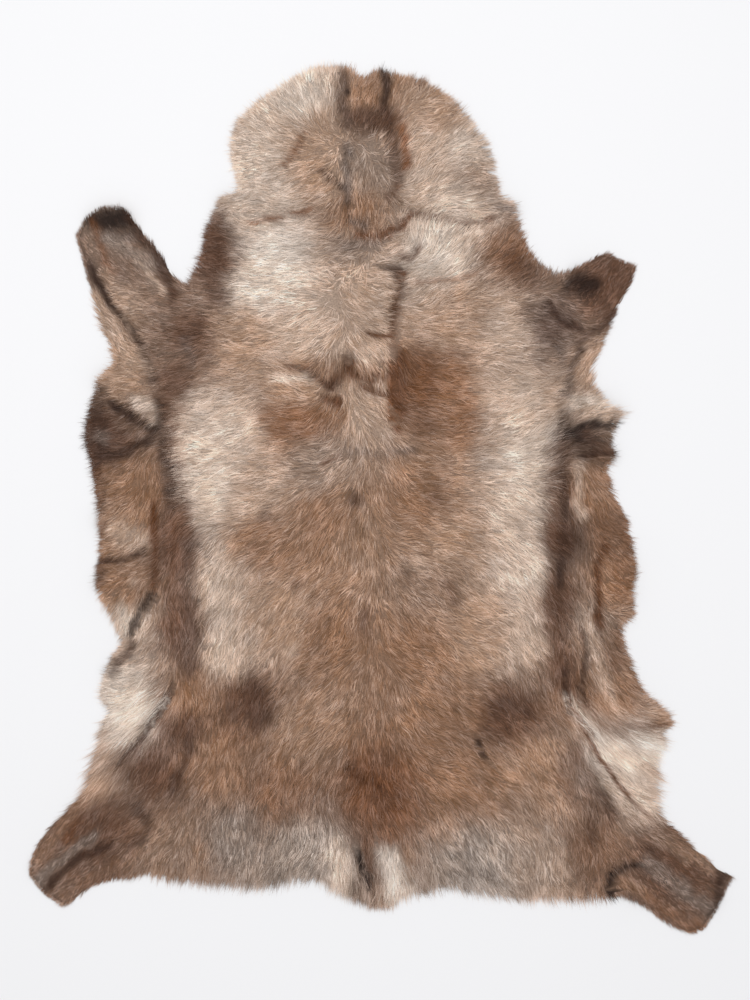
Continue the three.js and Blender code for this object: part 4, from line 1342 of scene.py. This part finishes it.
def hair_colours(places, size, lock, kept, tones, rng):
    """A colour for each vertex: the coat's colour there, lighter or darker by chance.

    It is read a kept share of the way back to the hair's root, because a hair keeps its colour
    where it lies over another tone. Chance acts on a lock as a whole and on each hair in it, and
    noise at the roots on clumps of hair. A hair that they make lighter is greyer too, and one that
    they make darker has a stronger colour.
    """
    roots = places[::size]
    back = np.repeat(roots, size, axis=0) - places
    paint = painted(places + kept * back, tones)
    chance = LOCK_CHANCE * rng.normal(0, 1, lock.max() + 1)[lock]
    chance = chance + HAIR_CHANCE * rng.normal(0, 1, len(roots))
    clump = CLUMP_CHANCE + SLEEK_CHANCE * coat_fields().read("sleek", roots)
    chance = np.minimum(chance + clump * noise_at(roots, "clumps"), MOST_CHANCE)
    strong = STRENGTH - PALE_LOSS * chance + STRENGTH_SPREAD * rng.normal(0, 1, len(roots))
    strong = np.clip(strong + noise_at(roots, "colour patches"), *STRENGTH_RANGE)
    patches = noise_at(places, "fine shade patches") + noise_at(places, "shade patches")
    shade = np.exp(np.repeat(chance, size) * paint[:, 3] + patches)[:, None]
    grey = paint[:, :3].mean(axis=1, keepdims=True)
    colours = grey + (paint[:, :3] - grey) * np.repeat(strong, size)[:, None]
    return np.clip(colours * shade, *SHADE_RANGE)


def store_hair_attributes(piece, along, colours):
    """Give each hair its colour, its share along and its own cell of the map for baking."""
    mesh = piece.data
    size = len(along)
    count = len(colours) // size
    set_attribute(mesh, "hair_colour", "FLOAT_COLOR", "color", with_alpha(colours))
    set_attribute(mesh, "hair_along", "FLOAT", "value", np.tile(along, count))
    cells = math.ceil(math.sqrt(count))
    cell = np.stack([np.arange(count) % cells, np.arange(count) // cells], -1)[:, None]
    across = np.where(np.arange(size) % 2, 1 - CELL_SIDE, CELL_SIDE)
    across[-1] = 0.5
    inside = np.stack([across, CELL_END + (1 - 2 * CELL_END) * along], -1)[None]
    places = ((cell + inside) / cells).reshape(-1, 2)
    corners = np.empty(len(mesh.loops), np.int32)
    mesh.loops.foreach_get("vertex_index", corners)
    mesh.uv_layers.new(name="OFBake").data.foreach_set("uv", places[corners].ravel())


# Materials


def new_group(name, inputs, outputs):
    """An empty shader node group with named sockets."""
    group = bpy.data.node_groups.new(name, "ShaderNodeTree")
    for label, kind, default in inputs:
        socket = group.interface.new_socket(label, in_out="INPUT", socket_type=kind)
        if default is not None:
            socket.default_value = default
    for label, kind in outputs:
        group.interface.new_socket(label, in_out="OUTPUT", socket_type=kind)
    return group, group.nodes.new("NodeGroupInput"), group.nodes.new("NodeGroupOutput")


def link(tree, *pairs):
    """Join sockets of a node tree, pair by pair."""
    for start, end in pairs:
        tree.links.new(start, end)


def hair_tone_group():
    """Group: a hair's colour, darker at the root and paler at the tip, flecked along its length."""
    # The darker root is partly the hair's own banding and partly painted shade deep in the pile.
    found = bpy.data.node_groups.get("Hair tone")
    if found:
        return found
    group, inside, outside = new_group(
        "Hair tone",
        [("Colour", "NodeSocketColor", (0.4, 0.3, 0.2, 1)), ("Along", "NodeSocketFloat", 0.5),
         ("Root shade", "NodeSocketFloat", 0.5), ("Tip shade", "NodeSocketFloat", 1.1),
         ("Fleck", "NodeSocketFloat", 0.1), ("Place", "NodeSocketVector", None)],
        [("Colour", "NodeSocketColor"), ("Fleck", "NodeSocketFloat")],
    )
    nodes = group.nodes
    fleck = nodes.new("ShaderNodeTexNoise")
    fleck.inputs["Scale"].default_value = 420
    fleck.inputs["Detail"].default_value = 2
    ramp = nodes.new("ShaderNodeMapRange")
    ramp.interpolation_type = "SMOOTHSTEP"
    centred = nodes.new("ShaderNodeMath")
    centred.operation = "SUBTRACT"
    centred.inputs[1].default_value = 0.5
    scaled = nodes.new("ShaderNodeMath")
    scaled.operation = "MULTIPLY_ADD"
    shade = nodes.new("ShaderNodeVectorMath")
    shade.operation = "SCALE"
    link(
        group,
        (inside.outputs["Place"], fleck.inputs["Vector"]),
        (inside.outputs["Along"], ramp.inputs["Value"]),
        (inside.outputs["Root shade"], ramp.inputs["To Min"]),
        (inside.outputs["Tip shade"], ramp.inputs["To Max"]),
        (fleck.outputs["Fac"], centred.inputs[0]),
        (centred.outputs[0], scaled.inputs[0]),
        (inside.outputs["Fleck"], scaled.inputs[1]),
        (ramp.outputs["Result"], scaled.inputs[2]),
        (inside.outputs["Colour"], shade.inputs[0]),
        (scaled.outputs[0], shade.inputs["Scale"]),
        (shade.outputs["Vector"], outside.inputs["Colour"]),
        (fleck.outputs["Fac"], outside.inputs["Fleck"]),
    )
    return group


def new_material(name, roughness, specular, sheen):
    """A material with its Principled shader, its output and Object coordinates."""
    material = bpy.data.materials.new(name)
    material.use_nodes = True
    nodes = material.node_tree.nodes
    shader = nodes["Principled BSDF"]
    shader.inputs["Roughness"].default_value = roughness
    shader.inputs["Specular IOR Level"].default_value = specular
    shader.inputs["Sheen Weight"].default_value = sheen
    shader.inputs["Sheen Roughness"].default_value = 0.5
    return material, shader, nodes.new("ShaderNodeTexCoord").outputs["Object"]


def coat_material(name, root_shade, tip_shade, along, fleck, roughness):
    """Hair or wool: the stored colour, through the hair tone group, with a fine bump."""
    material, shader, place = new_material(name, roughness, 0.12, 0.03)
    tree = material.node_tree
    colour = tree.nodes.new("ShaderNodeAttribute")
    colour.attribute_name = "hair_colour"
    tone = tree.nodes.new("ShaderNodeGroup")
    tone.node_tree = hair_tone_group()
    tone.inputs["Root shade"].default_value = root_shade
    tone.inputs["Tip shade"].default_value = tip_shade
    tone.inputs["Fleck"].default_value = fleck
    bump = tree.nodes.new("ShaderNodeBump")
    bump.inputs["Strength"].default_value = 0.25
    bump.inputs["Distance"].default_value = 0.4 * MM
    if along:
        share = tree.nodes.new("ShaderNodeAttribute")
        share.attribute_name = "hair_along"
        link(tree, (share.outputs["Fac"], tone.inputs["Along"]))
    link(
        tree,
        (colour.outputs["Color"], tone.inputs["Colour"]),
        (place, tone.inputs["Place"]),
        (tone.outputs["Colour"], shader.inputs["Base Color"]),
        (tone.outputs["Fleck"], bump.inputs["Height"]),
        (bump.outputs["Normal"], shader.inputs["Normal"]),
    )
    return material


def skin_material(colour):
    """Tanned leather: a suede nap from two sizes of noise in its colour and its bump."""
    material, shader, place = new_material("tanned_skin", 0.82, 0.2, 0.25)
    tree = material.node_tree
    blotch, nap = (tree.nodes.new("ShaderNodeTexNoise") for _ in range(2))
    blotch.inputs["Scale"].default_value = 14
    blotch.inputs["Detail"].default_value = 5
    nap.inputs["Scale"].default_value = 900
    nap.inputs["Detail"].default_value = 3
    shades = tree.nodes.new("ShaderNodeValToRGB")
    shades.color_ramp.elements[0].position = 0.3
    shades.color_ramp.elements[0].color = (*[0.72 * c for c in colour], 1)
    shades.color_ramp.elements[1].position = 0.7
    shades.color_ramp.elements[1].color = (*[min(1, 1.12 * c) for c in colour], 1)
    bump = tree.nodes.new("ShaderNodeBump")
    bump.inputs["Strength"].default_value = 0.5
    bump.inputs["Distance"].default_value = 0.3 * MM
    link(
        tree,
        (place, blotch.inputs["Vector"]),
        (place, nap.inputs["Vector"]),
        (blotch.outputs["Fac"], shades.inputs["Fac"]),
        (shades.outputs["Color"], shader.inputs["Base Color"]),
        (nap.outputs["Fac"], bump.inputs["Height"]),
        (bump.outputs["Normal"], shader.inputs["Normal"]),
    )
    return material


def floor_material(colour):
    """Plain matt paper, with a trace of unevenness in its tone."""
    material, shader, place = new_material("pale_floor", 0.9, 0.2, 0)
    tree = material.node_tree
    cloud = tree.nodes.new("ShaderNodeTexNoise")
    cloud.inputs["Scale"].default_value = 0.7
    shades = tree.nodes.new("ShaderNodeValToRGB")
    shades.color_ramp.elements[0].color = (*[0.985 * c for c in colour], 1)
    shades.color_ramp.elements[1].color = (*colour, 1)
    link(
        tree,
        (place, cloud.inputs["Vector"]),
        (cloud.outputs["Fac"], shades.inputs["Fac"]),
        (shades.outputs["Color"], shader.inputs["Base Color"]),
    )
    return material


# Operators


class REINDEER_OT_wool(bpy.types.Operator):
    """Build the dense underwool that fills most of the pile"""

    bl_idname = "reindeer.wool"
    bl_label = "Underwool"
    bl_options = {"REGISTER", "UNDO"}

    CLEAR = 0.15  # how far above the skin it starts
    THINNEST = 0.8  # and how thin it may get

    def execute(self, context):
        settings, tones = context.scene.reindeer_hide, context.scene.reindeer_tones
        plan, quads, edge = trimmed_plan()
        under = coat_fields().read("lift", plan) + settings.skin_thickness / MM + self.CLEAR
        over = np.maximum(face_of_wool(plan, settings), under + self.THINNEST)
        vertices, faces = closed_layer(plan, quads, edge, under, over)
        # The wool's colour at 0.55 is painted shade deep between the hairs.
        material = coat_material(
            "underwool", root_shade=0.55, tip_shade=0.55, along=False, fleck=0.8, roughness=0.75
        )
        piece = new_piece(WOOL, vertices, faces, material)
        colours = painted(vertices[:, :2], tones)[:, :3]
        set_attribute(piece.data, "hair_colour", "FLOAT_COLOR", "color", with_alpha(colours))
        return {"FINISHED"}


class REINDEER_OT_hair(bpy.types.Operator):
    """Build the coat of hair, in four zones from the neck to the rump"""

    bl_idname = "reindeer.hair"
    bl_label = "Coat of hair"
    bl_options = {"REGISTER", "UNDO"}

    SEED = 7
    SEGMENTS = 2
    LONG_SHARE = 0.6  # of the long hair's extra length that the coat's own hair takes
    LONGER = 1.12  # how many times as long as the tables say the hair is drawn
    LOCK_LENGTHS = (0.7, 1.15)  # the lengths of locks range between these shares
    HAIR_LENGTHS = (0.75, 1.1)  # and those of the hairs in one
    LOOSE_LOSS = 0.4  # the share of its length that hair loses where the lies cancel
    SHAGGY_PAST = 6  # how much further past the cut edge shaggy hair may reach
    WIDTHS = (0.7, 1.2)  # the widths of hairs range between these shares
    RISE = 0.12  # how far a tip stands above the wool, as a share of the pile
    RISES = (0.1, 1.4)  # and the locks range between these shares of it

    def execute(self, context):
        settings, tones = context.scene.reindeer_hide, context.scene.reindeer_tones
        rng = np.random.default_rng(self.SEED)
        coat = coat_fields()
        middles = scatter_roots(settings.hairs // HAIRS_IN_LOCK, rng)
        middles = middles[np.argsort(-middles[:, 1], kind="stable")]
        material = coat_material(
            "coat_hair", root_shade=0.70, tip_shade=1.14, along=True, fleck=0.10, roughness=0.55
        )
        for name, zone in zip(HAIR_ZONES, np.array_split(middles, len(HAIR_ZONES))):
            lock = np.repeat(np.arange(len(zone)), HAIRS_IN_LOCK)
            roots = zone[lock] + rng.normal(0, LOCK_SPREAD, (len(lock), 2))
            directions = lock_directions(zone, rng)[lock]
            fan = rng.normal(0, LOCK_FAN, len(lock))
            directions = turned(directions, np.radians(fan))
            lengths = coat.read("length", roots) + self.LONG_SHARE * coat.read("longer", roots)
            lengths = self.LONGER * lengths * rng.uniform(*self.LOCK_LENGTHS, len(zone))[lock]
            lengths = lengths * rng.uniform(*self.HAIR_LENGTHS, len(lock))
            lengths = lengths * (1 - self.LOOSE_LOSS * looseness(roots))
            spare = self.SHAGGY_PAST * shagginess(roots) * rng.random(len(lock)) ** 3
            spare = PAST_EDGE + spare
            lengths = held_to_outline(roots, directions, lengths, spare)
            widths = settings.hair_width / MM * rng.uniform(*self.WIDTHS, len(lock))
            rise = self.RISE * coat.read("pile", roots)
            rise = rise * rng.uniform(*self.RISES, len(zone))[lock]
            vertices, faces, along = hair_ribbons(
                roots, zone[lock], directions, lengths, widths, rise, self.SEGMENTS, settings, rng
            )
            piece = new_piece(name, vertices, faces, material)
            places = vertices[:, :2]
            colours = hair_colours(places, len(along), lock, COAT_KEEPS, tones, rng)
            store_hair_attributes(piece, along, colours)
        return {"FINISHED"}


class REINDEER_OT_guard_hair(bpy.types.Operator):
    """Build the long guard hair of the cut edge, the tail, the hind flanks and the flank lines"""

    bl_idname = "reindeer.guard_hair"
    bl_label = "Guard hair"
    bl_options = {"REGISTER", "UNDO"}

    SEED = 8
    SEGMENTS = 3
    OFFERED = 14  # places that are offered for each hair
    BARE_EDGE = 0.35  # how thickly it grows along a cut edge with short hair, against a shaggy one
    EDGE_HOLD = 1.2  # above 1, it also grows at its thickest a little way inland
    EDGE_REACH = 16  # and over this distance further inland it ends
    HAIR_LENGTHS = (0.5, 1.1)  # the lengths of hairs range between these shares
    SHAGGY_PAST = 17  # how much further past the cut edge shaggy hair may reach
    LONG_PAST = 0.7  # and the share of the long hair's extra length that it may go beyond that
    WIDTH = 0.6  # against a hair of the coat
    WIDTHS = (0.6, 1.2)  # and its widths range between these shares
    RISE = 0.14  # how far a tip stands above the wool, as a share of the pile
    RISES = (0.2, 1.4)  # and the tips range between these shares of it

    def execute(self, context):
        settings, tones = context.scene.reindeer_hide, context.scene.reindeer_tones
        coat = coat_fields()
        rng = np.random.default_rng(self.SEED)
        offered = scatter_roots(self.OFFERED * settings.guard_hairs, rng)
        shaggy = self.BARE_EDGE + (1 - self.BARE_EDGE) * shagginess(offered)
        inland = coat.read("inland", offered)
        wanted = shaggy * np.clip(self.EDGE_HOLD - inland / self.EDGE_REACH, 0, 1)
        wanted = np.maximum(wanted, coat.read("thick", offered))
        drawn = rng.choice(
            len(offered), settings.guard_hairs, replace=False, p=wanted / wanted.sum()
        )
        roots = offered[drawn]
        extra = coat.read("longer", roots)
        directions = lock_directions(roots, rng)
        lengths = coat.read("length", roots) + extra
        lengths = lengths * rng.uniform(*self.HAIR_LENGTHS, len(roots))
        spare = self.SHAGGY_PAST * rng.random(len(roots)) ** 2 + self.LONG_PAST * extra
        spare = PAST_EDGE + spare * shagginess(roots)
        lengths = held_to_outline(roots, directions, lengths, spare)
        widths = self.WIDTH * settings.hair_width / MM * rng.uniform(*self.WIDTHS, len(roots))
        rise = self.RISE * coat.read("pile", roots) * rng.uniform(*self.RISES, len(roots))
        vertices, faces, along = hair_ribbons(
            roots, roots, directions, lengths, widths, rise, self.SEGMENTS, settings, rng
        )
        material = coat_material(
            "guard_hair", root_shade=0.80, tip_shade=1.14, along=True, fleck=0.10, roughness=0.5
        )
        piece = new_piece(GUARD_HAIR, vertices, faces, material)
        places, lock = vertices[:, :2], np.arange(len(roots))
        colours = hair_colours(places, len(along), lock, GUARD_KEEPS, tones, rng)
        store_hair_attributes(piece, along, colours)
        return {"FINISHED"}


class REINDEER_OT_skin(bpy.types.Operator):
    bl_idname = "reindeer.skin"
    bl_label = "Tanned skin"
    bl_options = {"REGISTER", "UNDO"}

    def execute(self, context):
        settings = context.scene.reindeer_hide
        plan, quads, edge = trimmed_plan()
        under = coat_fields().read("lift", plan)
        over = under + settings.skin_thickness / MM
        vertices, faces = closed_layer(plan, quads, edge, under, over)
        piece = new_piece("reindeer_skin", vertices, faces, skin_material(settings.skin_colour))
        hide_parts(NODE)
        return {"FINISHED"}


class REINDEER_OT_stage(bpy.types.Operator):
    """Build the pale floor, the soft light and the camera above the hide"""

    bl_idname = "reindeer.stage"
    bl_label = "Stage"
    bl_options = {"REGISTER", "UNDO"}

    VIEW_MIDDLE = (-0.0080, 0.0008)  # where the camera looks straight down
    HAIR_FACE = 0.014  # height at which the picture has its stated size
    SENSOR = 36  # the side of the camera's sensor, in millimetres
    FARTHEST = 50  # what lies further from the camera than this isn't drawn
    FLOOR = 8.0  # half of the floor's side
    LIGHT_SIDE = 3.0  # of the square lamp
    LIGHT_PLACE = (-0.2, 0.7, 3.2)
    LIGHT_TILT = (-13, -4, 0)  # degrees about the three axes
    SKY_COLOUR = (1.0, 0.99, 0.99, 1)

    def execute(self, context):
        settings, scene = context.scene.reindeer_stage, context.scene
        mesh = bpy.data.meshes.new("floor")
        half = self.FLOOR
        mesh.from_pydata(
            [(-half, -half, 0), (half, -half, 0), (half, half, 0), (-half, half, 0)], [], [(0, 1, 2, 3)]
        )
        mesh.materials.append(floor_material(settings.floor_colour))
        floor = bpy.data.objects.new("floor", mesh)
        scene.collection.objects.link(floor)

        lamp = bpy.data.lights.new("soft_light", "AREA")
        lamp.shape = "SQUARE"
        lamp.size = self.LIGHT_SIDE
        lamp.energy = settings.light_power
        light = bpy.data.objects.new("soft_light", lamp)
        light.location = self.LIGHT_PLACE
        light.rotation_euler = [math.radians(angle) for angle in self.LIGHT_TILT]
        scene.collection.objects.link(light)

        world = bpy.data.worlds.new("soft_sky")
        world.use_nodes = True
        sky = world.node_tree.nodes["Background"]
        sky.inputs["Color"].default_value = self.SKY_COLOUR
        sky.inputs["Strength"].default_value = settings.sky_strength
        scene.world = world

        lens = bpy.data.cameras.new("camera")
        lens.lens, lens.sensor_width = settings.lens, self.SENSOR
        lens.clip_end = self.FARTHEST
        camera = bpy.data.objects.new("camera", lens)
        above = settings.view_height * settings.lens / self.SENSOR + self.HAIR_FACE
        camera.location = (*self.VIEW_MIDDLE, above)
        scene.collection.objects.link(camera)
        scene.camera = camera
        scene.view_settings.view_transform = "Standard"
        return {"FINISHED"}


class REINDEER_PT_panel(bpy.types.Panel):
    """Lists the hide's pieces and its settings"""

    bl_idname = "REINDEER_PT_panel"
    bl_label = "Reindeer hide"
    bl_space_type = "VIEW_3D"
    bl_region_type = "UI"
    bl_category = "Reindeer hide"

    def draw(self, context):
        scene = context.scene
        for operator in BUILDERS:
            self.layout.operator(operator.bl_idname)
        for group in (scene.reindeer_hide, scene.reindeer_tones, scene.reindeer_stage):
            box = self.layout.box()
            for name in group.bl_rna.properties.keys():
                if name not in {"rna_type", "name"}:
                    box.prop(group, name)


GROUPS = {
    "reindeer_hide": HideSettings,
    "reindeer_tones": CoatTones,
    "reindeer_stage": StageSettings,
}
BUILDERS = [
    REINDEER_OT_stage,
    REINDEER_OT_wool,
    REINDEER_OT_hair,
    REINDEER_OT_guard_hair,
    REINDEER_OT_skin,
]


def register():
    """Register the settings, the operators and the panel."""
    for cls in (*GROUPS.values(), *BUILDERS, REINDEER_PT_panel):
        bpy.utils.register_class(cls)
    for name, group in GROUPS.items():
        setattr(bpy.types.Scene, name, bpy.props.PointerProperty(type=group))


def unregister():
    """Take the settings, the operators and the panel away again."""
    for name in GROUPS:
        delattr(bpy.types.Scene, name)
    for cls in reversed((*GROUPS.values(), *BUILDERS, REINDEER_PT_panel)):
        bpy.utils.unregister_class(cls)


def main():
    """Build every piece in order."""
    register()
    bpy.ops.reindeer.stage()
    bpy.ops.reindeer.wool()
    bpy.ops.reindeer.hair()
    bpy.ops.reindeer.guard_hair()
    bpy.ops.reindeer.skin()


if __name__ == "__main__":
    main()
